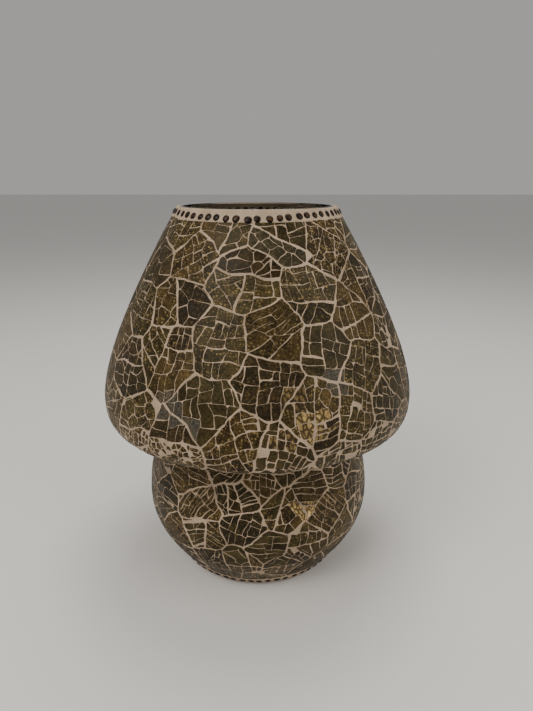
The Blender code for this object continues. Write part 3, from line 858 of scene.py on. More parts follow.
def shards_of(low, high, cluster, shard, seed, slivers, fineness, hole):
    """All the shards of a zone of the wall, between two rises.

    slivers is the share of sheets in long thin shards. fineness(rise) makes shards smaller, and
    hole(outline) leaves them out.
    """
    mosaic = settings().mosaic
    shards = []
    for index, cell in enumerate(sheets_of(random.Random(seed), low, high, cluster)):
        draw = random.Random(10000 * seed + index)
        middle = centre_of(cell)
        radius = float(WALL.radius_at(middle[1]))
        sheet = (cell - middle) * radius
        half = []
        for i in range(len(cell)):
            pair = (cell[i][1], cell[(i + 1) % len(cell)][1])
            at_end = any(max(abs(y - end) for y in pair) < TOUCH for end in (low, high))
            wide = draw.choice((0.5, 0.65, 0.8, 0.9, 1.1, 1.3, 1.7)) * draw.uniform(0.8, 1.2)
            half.append(0.12 * MM if at_end else mosaic.joint / 2 * wide)
        sheet = shrink(draw, sheet, half, 0.022)
        if len(sheet) < 3 or area_of(sheet) < 8 * MM * MM:
            continue
        kind, tint = look_of(draw)
        fine = fineness(middle[1]) if fineness else 1.0
        size = shard * draw.uniform(0.78, 1.25) * fine
        crack = mosaic.crack * (1 + 1.5 * (1 - fine))
        degrees = (math.degrees(middle[0]) + 180) % 360 - 180
        straight = draw.random() < (0.72 if -100 < degrees < -40 else 0.42)
        turn = draw.gauss(0, 0.2)
        spin = np.array([[math.cos(turn), -math.sin(turn)], [math.sin(turn), math.cos(turn)]])
        offset = np.array([draw.uniform(0, 4), draw.uniform(0, 4)])
        if draw.random() < slivers:
            parts = slivers_of(draw, sheet, size)
        else:
            parts = parts_of(draw, sheet, size, straight)
        for part in parts:
            gaps = [crack / 2 * draw.lognormvariate(-0.08, 0.50) for _ in range(len(part))]
            part = shrink(draw, part, gaps, 0.03)
            if len(part) < 3 or area_of(part) < 4.5 * MM * MM:
                continue
            if draw.random() < 0.10 and area_of(part) < 30 * MM * MM:
                continue
            part = softened(draw, part, 0.42 * MM, 2.5 * MM)
            if len(part) < 4:
                continue
            outline = bent(part / radius + middle)
            if hole is not None and hole(outline):
                continue
            shade = max(0.5, 1 + draw.gauss(0, 0.14))
            look, colour = dressed(draw, kind, tint, outline)
            shards.append(Shard(outline, part @ spin.T + offset, look, colour * shade, draw.random()))
    return shards


def raise_shards(name, shards, seed):
    """Slips of glass with eased edges, bedded on the glass wall and almost following it."""
    proud, ease, fall_of_edge = 0.07 * MM, 0.42 * MM, 0.12 * MM
    draw = random.Random(seed)
    mosaic = settings().mosaic
    points, faces, flat, sheets, tints, kinds = [], [], [], [], [], []
    for shard in shards:
        outline = shard.outline
        middle = outline.mean(axis=0)
        centre = WALL.points(middle[0], middle[1], -proud)
        facing = Vector(WALL.normals(middle[0], middle[1]))
        across = Vector((-math.sin(middle[0]), math.cos(middle[0]), 0))
        up = facing.cross(across)
        tilt = (facing + across * draw.gauss(0, 0.012) + up * draw.gauss(0, 0.012)).normalized()
        tilt = np.array(tilt)
        count = len(outline)
        reach = np.hypot(*((outline - middle).T)) * WALL.radius_at(middle[1])
        inner = middle + (outline - middle) * np.clip(1 - ease / np.maximum(reach, 1e-5), 0.4, 1.0)[:, None]
        start = len(points)
        rings = []
        for ring, fall in ((inner, 0.0), (outline, fall_of_edge)):
            foot = WALL.points(ring[:, 0], ring[:, 1])
            out = WALL.normals(ring[:, 0], ring[:, 1])
            lift = -((foot - centre) @ tilt) / np.maximum(out @ tilt, 0.3)
            lift = proud + (np.clip(lift, -0.10 * MM, 0.6 * MM) - proud) * 0.4 - fall
            rings.append(foot + out * lift[:, None])
        rings.append(WALL.points(outline[:, 0], outline[:, 1], mosaic.thickness + 0.1 * MM))
        for ring in rings:
            points.extend(ring)
        points.append(centre)
        hub = start + 3 * count
        sheets.extend([*shard.sheet] * 3 + [shard.sheet.mean(axis=0)])
        tints.extend([(*shard.tint, 1.0)] * (3 * count + 1))
        kinds.extend([(*shard.kind, shard.chance)] * (3 * count + 1))
        for i in range(count):
            faces.append((start + i, start + (i + 1) % count, hub))
            flat.append(True)
        for level in range(2):
            a = start + level * count
            for i in range(count):
                j = (i + 1) % count
                faces.append((a + j, a + i, a + count + i, a + count + j))
                flat.append(level == 1)
        faces.append(tuple(start + 2 * count + i for i in reversed(range(count))))
        flat.append(True)
    made = new_piece(name, points, faces, "shard_glass")
    mesh = made.data
    mesh.polygons.foreach_set("use_smooth", [not f for f in flat])
    layer = mesh.uv_layers.new(name="sheet")
    corners = np.empty(len(mesh.loops), int)
    mesh.loops.foreach_get("vertex_index", corners)
    layer.data.foreach_set("uv", np.array(sheets)[corners].ravel())
    for label, values in (("tint", tints), ("kind", kinds)):
        colours = mesh.attributes.new(label, "FLOAT_COLOR", "POINT")
        colours.data.foreach_set("color", np.array(values, float).ravel())
    return made


def grout_skin(name, low, high, fall, around=300, along=None, edge=None, lip=0.6 * MM):
    """A shell of grout between two rises.

    fall is how far it lies below the wall's face, along counts its rows, edge(angle) moves its lower
    end, and lip eases both ends inwards, in metres.
    """
    thickness = settings().mosaic.thickness
    span = float(WALL.length_at(high) - WALL.length_at(low))
    rows = along or max(6, int(span / (1.9 * MM)))
    angles = np.linspace(0, TURN, around, endpoint=False)
    points, faces = [], []
    lengths = np.linspace(WALL.length_at(low), WALL.length_at(high), rows + 1)
    for row, length in enumerate(lengths):
        share = row / rows
        for angle in angles:
            here = length + (edge(angle) * (1 - share) if edge else 0)
            rise = float(WALL.rise_at(here))
            place = Vector(WALL.points(angle, rise))
            lump = noise.noise(place * 140) * 0.035 * MM + noise.noise(place * 45) * 0.025 * MM
            ends = min(here - lengths[0], lengths[-1] - here)
            ease = lip * (1 - min(1.0, max(0.0, ends) / (1.2 * MM))) ** 2 if lip else 0
            points.append(WALL.points(angle, rise, fall - lump + ease))
    outer = len(points)
    for row, length in enumerate(lengths):
        share = row / rows
        moved = [length + (edge(angle) * (1 - share) if edge else 0) for angle in angles]
        points.extend(WALL.points(angles, WALL.rise_at(moved), thickness))
    for row in range(rows):
        for i in range(around):
            j = (i + 1) % around
            a, b = row * around, (row + 1) * around
            faces.append((a + i, a + j, b + j, b + i))
            faces.append((outer + a + j, outer + a + i, outer + b + i, outer + b + j))
    for i in range(around):
        j = (i + 1) % around
        top = rows * around
        faces.append((outer + i, outer + j, j, i))
        faces.append((top + i, top + j, outer + top + j, outer + top + i))
    return face_out(new_piece(name, points, faces, "sandy_grout"), 50)


# ---------------------------------------------------------------- Geometry Nodes


class Tree:
    """A Geometry Nodes tree with named inputs, put together call by call."""

    KINDS = {float: "NodeSocketFloat", int: "NodeSocketInt"}

    def __init__(self, name, **inputs):
        self.group = bpy.data.node_groups.new(name, "GeometryNodeTree")
        self.group.interface.new_socket("Geometry", in_out="INPUT", socket_type="NodeSocketGeometry")
        self.values, self.ids = inputs, {}
        for label, value in inputs.items():
            kind = "NodeSocketMaterial" if isinstance(value, bpy.types.Material) else self.KINDS[type(value)]
            socket = self.group.interface.new_socket(
                label.replace("_", " ").capitalize(), in_out="INPUT", socket_type=kind)
            self.ids[label] = socket.identifier
        self.group.interface.new_socket("Geometry", in_out="OUTPUT", socket_type="NodeSocketGeometry")
        self.start = self.group.nodes.new("NodeGroupInput")
        self.end = self.group.nodes.new("NodeGroupOutput")
        self.labels = list(inputs)

    def given(self, label):
        return self.start.outputs[1 + self.labels.index(label)]

    def add(self, kind, choices=None, **plugs):
        """A node with its choices set and its sockets plugged; _2 is the socket at place 2."""
        node = self.group.nodes.new(kind)
        for key, value in (choices or {}).items():
            setattr(node, key, value)
        for key, value in plugs.items():
            place = int(key[1:]) if key[0] == "_" and key[1:].isdigit() else key.replace("_", " ")
            socket = node.inputs[place]
            if isinstance(value, bpy.types.NodeSocket):
                self.group.links.new(value, socket)
            else:
                socket.default_value = value
        return node

    def maths(self, operation, a, b=0.0):
        return self.add("ShaderNodeMath", {"operation": operation}, _0=a, _1=b).outputs[0]

    def plus(self, a, b):
        return self.maths("ADD", a, b)

    def minus(self, a, b):
        return self.maths("SUBTRACT", a, b)

    def times(self, a, b):
        return self.maths("MULTIPLY", a, b)

    def over(self, a, b):
        return self.maths("DIVIDE", a, b)

    def vector(self, x, y, z):
        return self.add("ShaderNodeCombineXYZ", X=x, Y=y, Z=z).outputs[0]

    def turned(self, angle, reach, height):
        """The place at an angle round Z, at a reach from it and a height."""
        across, back = self.maths("COSINE", angle), self.maths("SINE", angle)
        return self.vector(self.times(reach, across), self.times(reach, back), height)

    def chance(self, low, high, seed):
        node = self.add("FunctionNodeRandomValue", {"data_type": "FLOAT"}, _2=low, _3=high, Seed=seed)
        return node.outputs[1]

    def label(self, shape, name, value, domain="POINT"):
        """The shape with a named number stored on it."""
        return self.add("GeometryNodeStoreNamedAttribute", {"data_type": "FLOAT", "domain": domain},
                        Geometry=shape, Name=name, Value=value).outputs[0]

    def real(self, rows):
        """The instances as plain geometry in the given finish."""
        real = self.add("GeometryNodeRealizeInstances", Geometry=rows).outputs[0]
        return self.add("GeometryNodeSetMaterial", Geometry=real, Material=self.given("finish")).outputs[0]

    def mesh(self, name, last):
        """Ends the tree in last, runs it, and returns the plain mesh it makes as an object."""
        self.group.links.new(last, self.end.inputs[0])
        made = placed(name, bpy.data.meshes.new(name))
        modifier = made.modifiers.new("nodes", "NODES")
        modifier.node_group = self.group
        for label, value in self.values.items():
            modifier[self.ids[label]] = value
        return apply_modifiers(made)


# (waves in a turn, share of the waver, phase) of a hand-set row of beads
WAVES = ((2, 0.40, 1.8), (3, 0.42, 3.5), (7, 0.18, 2.6))


def row_wave(angle):
    """How far a row of beads strays from its mean, as a share of the waver, up the wall."""
    return sum(share * math.sin(count * angle + phase) for count, share, phase in WAVES)


def bead_row(name, count, length, waver, seed):
    """A row of flat-backed glass beads round the wall, at a length along it, bedded in the grout."""
    beads = settings().beads
    rise = float(WALL.rise_at(length))
    out, up = (float(n) for n in WALL.slope_at(rise))
    sunk = WALL.points(0.0, rise, 0.25 * MM)
    tree = Tree(
        name, count=count, radius=float(sunk[0]), height=float(sunk[2]), bead=float(beads.size),
        back=float(settings().mosaic.thickness - 0.13 * MM), waver=float(waver), lean=math.atan2(up, out),
        seed=seed, finish=finish("bead_glass"),
    )
    index = tree.add("GeometryNodeInputIndex").outputs[0]
    seeds = [tree.plus(tree.given("seed"), float(n)) for n in range(5)]
    stray = tree.chance(-0.10, 0.10, seeds[0])
    angle = tree.times(tree.plus(index, stray), tree.over(TURN, tree.given("count")))
    shift = tree.chance(-0.25, 0.25, seeds[1])
    for waves, share, phase in WAVES:
        swing = tree.maths("SINE", tree.plus(tree.times(angle, float(waves)), phase))
        shift = tree.plus(shift, tree.times(swing, share))
    shift = tree.times(shift, tree.given("waver"))
    level, steep = tree.maths("COSINE", tree.given("lean")), tree.maths("SINE", tree.given("lean"))
    radius = tree.minus(tree.given("radius"), tree.times(shift, steep))
    height = tree.plus(tree.given("height"), tree.times(shift, level))
    place = tree.turned(angle, radius, height)
    spots = tree.add("GeometryNodePoints", Count=tree.given("count"), Position=place).outputs[0]
    half = tree.times(tree.given("bead"), 0.5)
    ball = tree.add("GeometryNodeMeshUVSphere", Segments=16, Rings=10, Radius=half).outputs[0]
    at = tree.add("ShaderNodeSeparateXYZ", Vector=tree.add("GeometryNodeInputPosition").outputs[0])
    x, y, z = at.outputs
    ball = tree.label(ball, "crown", tree.over(z, half))
    # below its widest ring the bead goes straight back to a flat foot on the glass wall
    planar = tree.maths("POWER", tree.plus(tree.times(x, x), tree.times(y, y)), 0.5)
    under = tree.maths("LESS_THAN", z, -0.01 * MM)
    grown = tree.minus(tree.over(half, tree.maths("MAXIMUM", planar, 0.1 * MM)), 1.0)
    wide = tree.plus(tree.times(under, grown), 1.0)
    dome = tree.times(tree.maths("MAXIMUM", z, 0.0), 0.46)
    drop = tree.over(tree.times(tree.maths("MINIMUM", z, 0.0), tree.given("back")), half)
    shaped = tree.vector(tree.times(x, wide), tree.times(tree.times(y, wide), 0.93), tree.plus(dome, drop))
    ball = tree.add("GeometryNodeSetPosition", Geometry=ball, Position=shaped).outputs[0]
    facing = tree.turned(angle, level, steep)
    turned = tree.add("FunctionNodeAlignRotationToVector", {"axis": "Z"}, Vector=facing).outputs[0]
    spin = tree.add("FunctionNodeAxisAngleToRotation", Axis=(0, 0, 1), Angle=tree.chance(0.0, 3.1, seeds[2]))
    spun = tree.add("FunctionNodeRotateRotation", {"rotation_space": "LOCAL"}, Rotation=turned,
                    Rotate_By=spin.outputs[0])
    size = tree.chance(0.92, 1.06, seeds[3])
    rows = tree.add("GeometryNodeInstanceOnPoints", Points=spots, Instance=ball,
                    Rotation=spun.outputs[0], Scale=tree.vector(size, size, 1.0)).outputs[0]
    rows = tree.label(rows, "tone", tree.chance(0.0, 1.0, seeds[4]), "INSTANCE")
    smooth = tree.add("GeometryNodeSetShadeSmooth", Geometry=tree.real(rows)).outputs[0]
    return settle(face_out(tree.mesh(name, smooth), 50), BODY, "grout")


def rib_ring(name, count, radius, low, high, width, material):
    """Upright grip ribs round a turned piece, each a small rounded bar."""
    tree = Tree(name, count=count, radius=radius, low=low, high=high, width=width,
                finish=finish(material))
    index = tree.add("GeometryNodeInputIndex").outputs[0]
    angle = tree.times(index, tree.over(TURN, tree.given("count")))
    middle = tree.times(tree.plus(tree.given("low"), tree.given("high")), 0.5)
    tall = tree.minus(tree.given("high"), tree.given("low"))
    place = tree.turned(angle, tree.given("radius"), middle)
    spots = tree.add("GeometryNodePoints", Count=tree.given("count"), Position=place).outputs[0]
    half = tree.times(tree.given("width"), 0.5)
    bar = tree.add("GeometryNodeMeshCylinder", Vertices=8, Radius=half, Depth=tall).outputs[0]
    rows = tree.add("GeometryNodeInstanceOnPoints", Points=spots, Instance=bar).outputs[0]
    return settle(face_out(tree.mesh(name, tree.real(rows)), 50), BODY, material)


# ---------------------------------------------------------------- operators


class LAMP_OT_finishes(bpy.types.Operator):
    """Make every finish, and give each carried-over frame part its own"""

    bl_idname = "lamp.finishes"
    bl_label = "Finishes"

    def execute(self, context):
        for plain in list(bpy.data.materials):
            plain.name = f"plain_{plain.name}"
        make_finishes()
        names = {"rubber": "black_rubber", "mosaic": "shard_glass", "grout": "sandy_grout"}
        for node in frame["nodes"].values():
            for place in node.material_slots:
                label = place.material.name.removeprefix("plain_").split(".")[0]
                place.material = finish(names.get(label, label))
        return {"FINISHED"}


class LAMP_OT_vessel(bpy.types.Operator):
    """Turn the clear blown glass shell and bore its cable hole"""

    bl_idname = "lamp.vessel"
    bl_label = "Glass vessel"

    def execute(self, context):
        glass = settings().glass
        depth = settings().mosaic.thickness + glass.gap
        low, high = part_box("glass_body")
        lip_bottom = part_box("base_gasket")[1].z + glass.gap
        lip_top = lip_bottom + 4 * MM
        rise = WALL.rise[::3]
        outer = WALL.points(0 * rise, rise, depth)[:, [0, 2]]
        inner = WALL.points(0 * rise, rise, depth + glass.wall)[:, [0, 2]]
        outer = [p for p in outer if low.z <= p[1] <= high.z - 0.8 * MM]
        inner = [p for p in inner if lip_top + 3 * MM < p[1] <= high.z - 0.8 * MM]
        rim = [
            (outer[-1][0] - 0.3 * MM, high.z - 0.25 * MM), (outer[-1][0] - 1.0 * MM, high.z),
            (inner[-1][0] + 1.0 * MM, high.z), (inner[-1][0] + 0.3 * MM, high.z - 0.25 * MM),
        ]
        edge, bottom = outer[0]
        foot = [
            (inner[0][0] - 1.2 * MM, lip_top + 1.1 * MM), (inner[0][0] - 5 * MM, lip_top),
            (46.5 * MM, lip_top), (46 * MM, lip_top - 0.5 * MM), (46 * MM, lip_bottom + 0.5 * MM),
            (46.5 * MM, lip_bottom), (edge - 5.5 * MM, lip_bottom), (edge - 3.5 * MM, bottom),
        ]
        made = lathe("clear_glass_vessel", outer + rim + inner[::-1] + foot, "clear_glass", 128, angle=60)
        bored(made, inlet_drill())
        settle(made, BODY, "clear_glass", "glass_body")
        return {"FINISHED"}


def inlet_frame():
    """Where the cable inlet goes through the back wall, with +Z along its bore, outwards."""
    low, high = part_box("cable_grommet")
    middle_height = (low.z + high.z) / 2
    rise = float(WALL.rise[np.argmin(abs(WALL.line[:, 1] - 50 * MM))])
    place = WALL.points(math.pi / 2, rise, 2.75 * MM)
    normal = Vector(WALL.normals(math.pi / 2, rise))
    turn = normal.to_track_quat("Z", "Y").to_matrix().to_4x4()
    if abs(middle_height - place[2]) > 6 * MM:
        raise ValueError("the cable inlet isn't where the frame has it")
    return Matrix.Translation(place) @ turn


def inlet_drill():
    profile = [(0, 12 * MM), (7.0 * MM, 12 * MM), (7.0 * MM, -12 * MM), (0, -12 * MM)]
    return lathe("inlet_drill", profile, "clear_glass", 48, matrix=inlet_frame())


COURSES = ("lower", "middle", "upper")
FEWEST = 300  # shards in a zone


class LAMP_OT_mosaic(bpy.types.Operator):
    """Lay the shards and grout of the shade and the bowl"""

    bl_idname = "lamp.mosaic"
    bl_label = "Mosaic"

    def execute(self, context):
        mosaic = settings().mosaic
        noise.seed_set(mosaic.seed + 1)  # a seed of 0 would mean the clock
        gap = settings().glass.gap
        waist = WALL.waist
        top = WALL.end - 6.8 * MM
        foot = 11.6 * MM
        drill = inlet_frame().translation

        def clear_of_inlet(outline):
            away = WALL.points(outline[:, 0], outline[:, 1]) - np.array(drill)
            return np.linalg.norm(away, axis=1).min() < 8.0 * MM

        crease = WALL.crease
        shoulder = float(WALL.rise[np.argmax(WALL.line[:, 0])])
        crease_rise = float(WALL.rise_at(crease))

        def shade_fineness(rise):
            """Shards get smaller towards the crease, under the shoulder."""
            share = (rise - crease_rise) / (shoulder + 0.20 - crease_rise)
            return 0.50 + 0.50 * min(1.0, max(0.0, share)) ** 2.4

        zones = (
            ("shade", crease + 0.8 * MM, top, mosaic.cluster, mosaic.shard, 0.08, shade_fineness, None, 0),
            ("bowl", foot, crease - 1.2 * MM, mosaic.cluster * 0.80, mosaic.shard * 0.78, 0.42, None,
             clear_of_inlet, 1),
        )
        skins = {
            "shade": (float(WALL.rise_at(waist + gap / 4)), float(WALL.rise_at(top))),
            "bowl": (float(WALL.rise_at(foot - 1 * MM)), float(WALL.rise_at(waist - gap / 4))),
        }
        for zone, low, high, cluster, shard, slivers, fineness, hole, more in zones:
            low_rise, high_rise = float(WALL.rise_at(low)), float(WALL.rise_at(high))
            shards = shards_of(
                low_rise, high_rise, cluster, shard, mosaic.seed + more, slivers, fineness, hole)
            if len(shards) < FEWEST:
                raise ValueError(f"only {len(shards)} shards were laid on the {zone}")
            shards.sort(key=lambda shard: shard.outline[:, 1].mean())
            third = len(shards) // len(COURSES) + 1
            for place, course in enumerate(COURSES):
                share = shards[place * third:(place + 1) * third]
                made = raise_shards(f"{zone}_shards_{course}", share, mosaic.seed + 50 + more * 3 + place)
                settle(made, BODY, "mosaic", f"{zone}_mosaic")
            skin = grout_skin(f"{zone}_grout", *skins[zone], mosaic.grout_fall, lip=0)
            if zone == "bowl":
                bored(skin, inlet_drill())
            settle(skin, BODY, "grout")
        return {"FINISHED"}


class LAMP_OT_bead_bands(bpy.types.Operator):
    """Set the two rows of beads in their collars of grout"""

    bl_idname = "lamp.bead_bands"
    bl_label = "Bead bands"

    def execute(self, context):
        beads = settings().beads
        end = WALL.end

        def collar_edge(angle):
            place = Vector((math.cos(angle), math.sin(angle), 3.0))
            ragged = noise.noise(place * 5) * 1.0 + noise.noise(place * 17) * 1.4
            return row_wave(angle) * beads.waver + ragged * MM

        top = grout_skin("rim_grout", float(WALL.rise_at(end - 11.4 * MM)), float(WALL.rise_at(end)),
                         -0.42 * MM, 480, 16, collar_edge, 1.0 * MM)
        settle(top, BODY, "grout", "top_bead_band")
        foot = grout_skin("foot_grout", float(WALL.rise_at(0.0)), float(WALL.rise_at(12.2 * MM)),
                          -0.20 * MM, 360, 14, None, 1.1 * MM)
        settle(foot, BODY, "grout", "foot_bead_band")
        bead_row("rim_beads", beads.rim_count, end - 6.4 * MM, beads.waver, 3)
        bead_row("foot_beads", beads.foot_count, 6.8 * MM, beads.waver * 0.4, 8)
        return {"FINISHED"}


class LAMP_OT_inlet(bpy.types.Operator):
    """Fit the rubber grommet in the cable hole"""

    bl_idname = "lamp.inlet"
    bl_label = "Cable inlet"

    def execute(self, context):
        flange, edge, neck, bore = 1.4 * MM, 9.2 * MM, 6.7 * MM, 4.3 * MM
        outside, inside = 3.5 * MM, -4.35 * MM
        profile = [
            (bore, outside + flange), (edge, outside + flange), (edge, outside), (neck, outside),
            (neck, inside), (edge, inside), (edge, inside - flange), (bore, inside - flange),
        ]
        made = lathe("cable_grommet_rubber", rounded(profile, 0.5 * MM), "black_rubber", 48,
                     matrix=inlet_frame(), angle=70)
        settle(made, BODY, "rubber", "cable_grommet")
        return {"FINISHED"}


class LAMP_OT_base(bpy.types.Operator):
    """Press the base plate, bored for the bridge screws, and its pads"""

    bl_idname = "lamp.base"
    bl_label = "Base"

    def execute(self, context):
        low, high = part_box("base_plate")
        rim, under, over = high.x, low.z, high.z
        profile = [
            (0, over), (rim - 0.6 * MM, over), (rim, over - 0.5 * MM), (rim, under + 0.5 * MM),
            (rim - 0.6 * MM, under), (rim - 7 * MM, under), (rim - 7.8 * MM, under - 0.45 * MM),
            (rim - 9.6 * MM, under - 0.45 * MM), (rim - 10.4 * MM, under),
            (28 * MM, under), (27.2 * MM, under + 0.4 * MM), (24.8 * MM, under + 0.4 * MM),
            (24 * MM, under), (0, under),
        ]
        plate = lathe("base_plate_pressed", profile, "dark_plate", 96, angle=50)
        for index in (1, 2):
            a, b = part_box(f"bridge_screw_{index}")
            hole = [(0, 10 * MM), (2.3 * MM, 10 * MM), (2.3 * MM, -1 * MM), (0, -1 * MM)]
            bored(plate, lathe("drill", hole, "dark_plate", 24, ((a.x + b.x) / 2, 0)))
        settle(plate, BODY, "dark_plate", "base_plate")
        for index in (1, 2, 3, 4):
            a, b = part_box(f"foot_pad_{index}")
            radius = (b.x - a.x) / 2
            profile = [(0, b.z), (radius, b.z), (radius, a.z + 0.9 * MM), (radius - 0.9 * MM, a.z),
                       (radius - 2.6 * MM, a.z), (radius - 3.0 * MM, a.z + 0.3 * MM), (0, a.z + 0.3 * MM)]
            made = lathe(f"rubber_pad_{index}", rounded(profile, 0.35 * MM, closed=False), "black_rubber",
                         40, ((a.x + b.x) / 2, (a.y + b.y) / 2))
            settle(made, BODY, "rubber", f"foot_pad_{index}")
        return {"FINISHED"}


def thread(pitch, depth, low, high):
    """A ripple for lathe: a rounded screw thread that fades out at its ends."""
    def ripple(angle, radius, height):
        if not low < height < high:
            return 0.0
        fade = min(1.0, (height - low) / (pitch / 2), (high - height) / (pitch / 2))
        phase = TURN * height / pitch - angle
        return depth * fade * (math.cos(phase) - 1) / 2
    return ripple


class LAMP_OT_lampholder(bpy.types.Operator):
    """Turn the lampholder: threaded nipple, domed cap, ribbed shell and brass screw shell"""

    bl_idname = "lamp.lampholder"
    bl_label = "Lampholder"

    def execute(self, context):
        low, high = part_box("nipple")
        bore = 3.7 * MM
        rows = [low.z + (high.z - low.z) * i / 84 for i in range(85)]
        profile = [(high.x, z) for z in rows] + [(bore, high.z), (bore, low.z)]
        ridges = thread(1.0 * MM, 0.35 * MM, low.z, high.z)
        made = lathe("threaded_nipple", profile, "zinc_steel", 32, angle=70,
                     ripple=lambda turn, r, z: ridges(turn, r, z) if r > bore + MM else 0)
        settle(made, BODY, "zinc_steel", "nipple")

        low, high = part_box("holder_cap")
        edge = high.x
        neck = 5.3 * MM
        outside = [
            (edge, high.z), (edge, low.z + 11.5 * MM), (edge - 0.6 * MM, low.z + 8.6 * MM),
            (edge - 2.9 * MM, low.z + 5.2 * MM), (edge - 6.5 * MM, low.z + 2.6 * MM),
            (9.6 * MM, low.z + 1.5 * MM), (9.0 * MM, low.z + 0.6 * MM), (8.5 * MM, low.z),
        ]
        inside = [
            (neck, low.z), (neck, low.z + 9 * MM), (9.0 * MM, low.z + 9 * MM), (9.6 * MM, low.z + 6 * MM),
            (12.5 * MM, low.z + 7.5 * MM), (16.2 * MM, low.z + 11 * MM), (16.2 * MM, high.z),
        ]
        made = lathe("holder_cap_dome", rounded(outside, 0.8 * MM, closed=False) + inside, "bakelite", 72)
        hole = [(0, 0), (1.8 * MM, 0), (1.8 * MM, 20 * MM), (0, 20 * MM)]
        side = Matrix.Translation((0, 0, low.z + 3.4 * MM)) @ Matrix.Rotation(math.pi / 2, 4, "X")
        bored(made, lathe("drill", hole, "bakelite", 20, matrix=side))
        settle(made, BODY, "bakelite", "holder_cap")
        rib_ring("holder_cap_ribs", 48, edge - 0.05 * MM, low.z + 12.6 * MM, high.z - 1 * MM, 0.9 * MM,
                 "bakelite")

        low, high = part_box("holder_shell")
        edge = high.x
        wall = edge - 1.8 * MM
        profile = [
            (edge - 0.7 * MM, high.z), (edge - 0.7 * MM, high.z - 5 * MM), (edge, high.z - 5.8 * MM),
            (edge, high.z - 8.4 * MM), (edge - 0.9 * MM, high.z - 9.4 * MM),
            (edge - 0.9 * MM, low.z + 14 * MM), (edge - 0.2 * MM, low.z + 13 * MM),
            (edge - 0.2 * MM, low.z), (wall, low.z), (wall, high.z - 4 * MM),
            (14.9 * MM, high.z - 3 * MM), (14.9 * MM, high.z),
        ]
        made = lathe("holder_shell_moulded", rounded(profile, 0.45 * MM), "bakelite", 72)
        settle(made, BODY, "bakelite", "holder_shell")
        rib_ring("holder_shell_ribs", 40, edge - 0.25 * MM, low.z + 1.4 * MM, low.z + 12 * MM, 0.9 * MM,
                 "bakelite")

        low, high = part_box("holder_screw_shell")
        outer, inner = high.x, high.x - 0.5 * MM
        floor_top = low.z + 0.5 * MM
        rows = np.linspace(floor_top + 0.4 * MM, high.z, 60)
        floor = [(outer, low.z), (9.7 * MM, low.z), (9.7 * MM, floor_top), (inner, floor_top)]
        profile = [(outer, z) for z in rows[::-1]] + floor + [(inner, z) for z in rows]
        wave = thread(BULB_PITCH, 0.5 * MM, low.z + 4 * MM, high.z - 0.5 * MM)
        made = lathe("brass_screw_shell", profile, "brass", 72, angle=60, ripple=wave)
        settle(made, BODY, "brass", "holder_screw_shell")

        low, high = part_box("holder_insert")
        profile = [(high.x, high.z), (high.x, low.z), (3.2 * MM, low.z), (3.2 * MM, high.z)]
        made = lathe("porcelain_insert", rounded(profile, 0.7 * MM), "porcelain", 64)
        settle(made, BODY, "porcelain", "holder_insert")
        return {"FINISHED"}


class LAMP_OT_bulb(bpy.types.Operator):
    """Blow the bulb with its threaded cap and stem"""

    bl_idname = "lamp.bulb"
    bl_label = "Bulb"

    def execute(self, context):
        low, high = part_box("bulb_cap")
        edge, wall = high.x, 0.45 * MM
        rows = np.linspace(low.z + 2.2 * MM, high.z, 56)
        outside = [(edge, z) for z in rows[::-1]]
        skirt = [(edge - 0.7 * MM, low.z + 0.9 * MM), (10.9 * MM, low.z), (10.2 * MM, low.z + 0.3 * MM)]
        inside = [(edge - wall, z) for z in rows]
        wave = thread(BULB_PITCH, 0.85 * MM, low.z + 1.2 * MM, high.z - 2.0 * MM)
        made = lathe("bulb_cap_threaded", outside + skirt + inside, "brass", 72, angle=60, ripple=wave)
        settle(made, BULB, "brass", "bulb_cap")

        low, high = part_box("bulb_envelope")
        radius = high.x
        centre, cap_top = high.z - radius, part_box("bulb_cap")[1].z
        neck = edge - 0.5 * MM - 0.75 * MM
        outline = [(radius * math.sin(a), centre + radius * math.cos(a))
                   for a in np.linspace(0, math.pi / 2, 22)[:-1]]
        outline += [tuple(p) for p in bezier((radius, centre), (radius, centre - 20 * MM),
                                             (neck, cap_top + 20 * MM), (neck, cap_top), 26)]
        outline += [(neck, cap_top), (neck, low.z)]
        inner = [(0.0, outline[0][1] - 0.6 * MM)]
        for i, (r, z) in enumerate(outline[1:], 1):
            ahead = Vector(outline[min(i + 1, len(outline) - 1)])
            along = (ahead - Vector(outline[i - 1])).normalized()
            inner.append((max(0.0, r + along.y * 0.6 * MM), z - along.x * 0.6 * MM))
        made = lathe("bulb_envelope_blown", outline + inner[::-1], "bulb_glass", 72, angle=80)
        settle(made, BULB, "bulb_glass", "bulb_envelope")

        low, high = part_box("bulb_stem")
        foot = low.z
        profile = [
            (0, high.z), (1.2 * MM, high.z - 0.3 * MM), (1.6 * MM, high.z - 1.2 * MM),
            (1.6 * MM, foot + 24 * MM), (2.2 * MM, foot + 21 * MM), (3.8 * MM, foot + 17 * MM),
            (4.0 * MM, foot + 9 * MM), (6.0 * MM, foot + 5 * MM), (10.6 * MM, foot + 1.5 * MM),
            (10.8 * MM, foot), (0, foot),
        ]
        made = lathe("bulb_stem_drawn", rounded(profile, 0.6 * MM, closed=False), "bulb_glass", 40)
        settle(made, BULB, "bulb_glass", "bulb_stem")
        return {"FINISHED"}


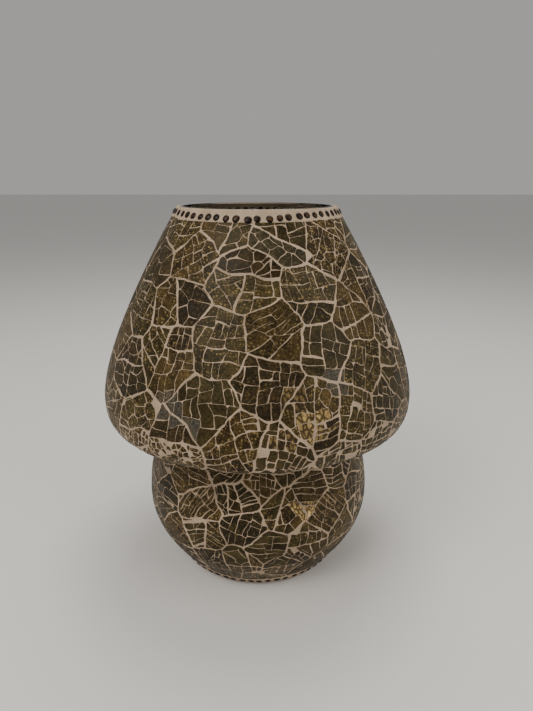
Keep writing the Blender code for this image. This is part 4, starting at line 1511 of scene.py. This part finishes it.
class LAMP_OT_stage(bpy.types.Operator):
    """Lay a plain pale floor under soft lights and set the camera"""

    bl_idname = "lamp.stage"
    bl_label = "Stage"

    def execute(self, context):
        stage = settings().stage
        made = Finish("pale_floor", (0.74, 0.73, 0.71), roughness=0.85)
        reach = 14.0
        points = [(-reach, -reach, 0), (reach, -reach, 0), (reach, reach, 0), (-reach, reach, 0)]
        mesh = bpy.data.meshes.new("floor")
        mesh.from_pydata(points, [], [(0, 1, 2, 3)])
        mesh.materials.append(made.material)
        placed("floor", mesh)

        world = bpy.data.worlds.new("even_light")
        world.use_nodes = True
        even = world.node_tree.nodes["Background"].inputs
        even["Color"].default_value = (1.0, 0.985, 0.96, 1)
        even["Strength"].default_value = stage.sky
        context.scene.world = world
        lights = (
            ("key", (-0.75, -0.85, 1.25), 0.9, stage.key),
            ("fill", (1.1, -0.55, 0.75), 1.0, stage.fill),
            ("top", (0.1, 0.35, 1.5), 0.8, stage.key * 0.7),
        )
        for name, place, size, power in lights:
            lamp = bpy.data.lights.new(name, "AREA")
            lamp.size = size
            lamp.energy = power
            lamp.color = (1.0, 0.96, 0.90)
            holder = placed(name, lamp)
            holder.location = place
            aim = Vector((0, 0, 0.16)) - Vector(place)
            holder.rotation_euler = aim.to_track_quat("-Z", "Y").to_euler()

        camera = bpy.data.cameras.new("camera")
        camera.sensor_fit = "HORIZONTAL"
        camera.sensor_width = 36
        camera.lens = 36.07
        camera.clip_start = 0.01
        view = placed("camera", camera)
        view.location = (0.0081, -0.4725, 0.350)
        view.rotation_euler = (math.radians(71.85), 0, 0)
        context.scene.camera = view
        return {"FINISHED"}


class LAMP_PT_sidebar(bpy.types.Panel):
    bl_label = "Mosaic Lamp"
    bl_idname = "LAMP_PT_sidebar"
    bl_space_type = "VIEW_3D"
    bl_region_type = "UI"
    bl_category = "Lamp"

    def draw(self, context):
        lamp = context.scene.mosaic_lamp
        for group in (lamp.mosaic, lamp.beads, lamp.glass, lamp.colours, lamp.stage):
            box = self.layout.box()
            for key in group.bl_rna.properties.keys():
                if key not in ("rna_type", "name"):
                    box.prop(group, key)
        for operator in OPERATORS:
            self.layout.operator(operator.bl_idname)


GROUPS = (MosaicSettings, BeadSettings, GlassSettings, ColourSettings, StageSettings, LampSettings)
OPERATORS = (
    LAMP_OT_finishes,
    LAMP_OT_stage,
    LAMP_OT_vessel,
    LAMP_OT_mosaic,
    LAMP_OT_bead_bands,
    LAMP_OT_inlet,
    LAMP_OT_base,
    LAMP_OT_lampholder,
    LAMP_OT_bulb,
)


def register():
    for made in GROUPS + OPERATORS + (LAMP_PT_sidebar,):
        bpy.utils.register_class(made)
    bpy.types.Scene.mosaic_lamp = PointerProperty(type=LampSettings)


def unregister():
    del bpy.types.Scene.mosaic_lamp
    for made in reversed(GROUPS + OPERATORS + (LAMP_PT_sidebar,)):
        bpy.utils.unregister_class(made)


def main():
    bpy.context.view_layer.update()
    register()
    for operator in OPERATORS:
        group, name = operator.bl_idname.split(".")
        getattr(getattr(bpy.ops, group), name)()


if __name__ == "__main__":
    main()
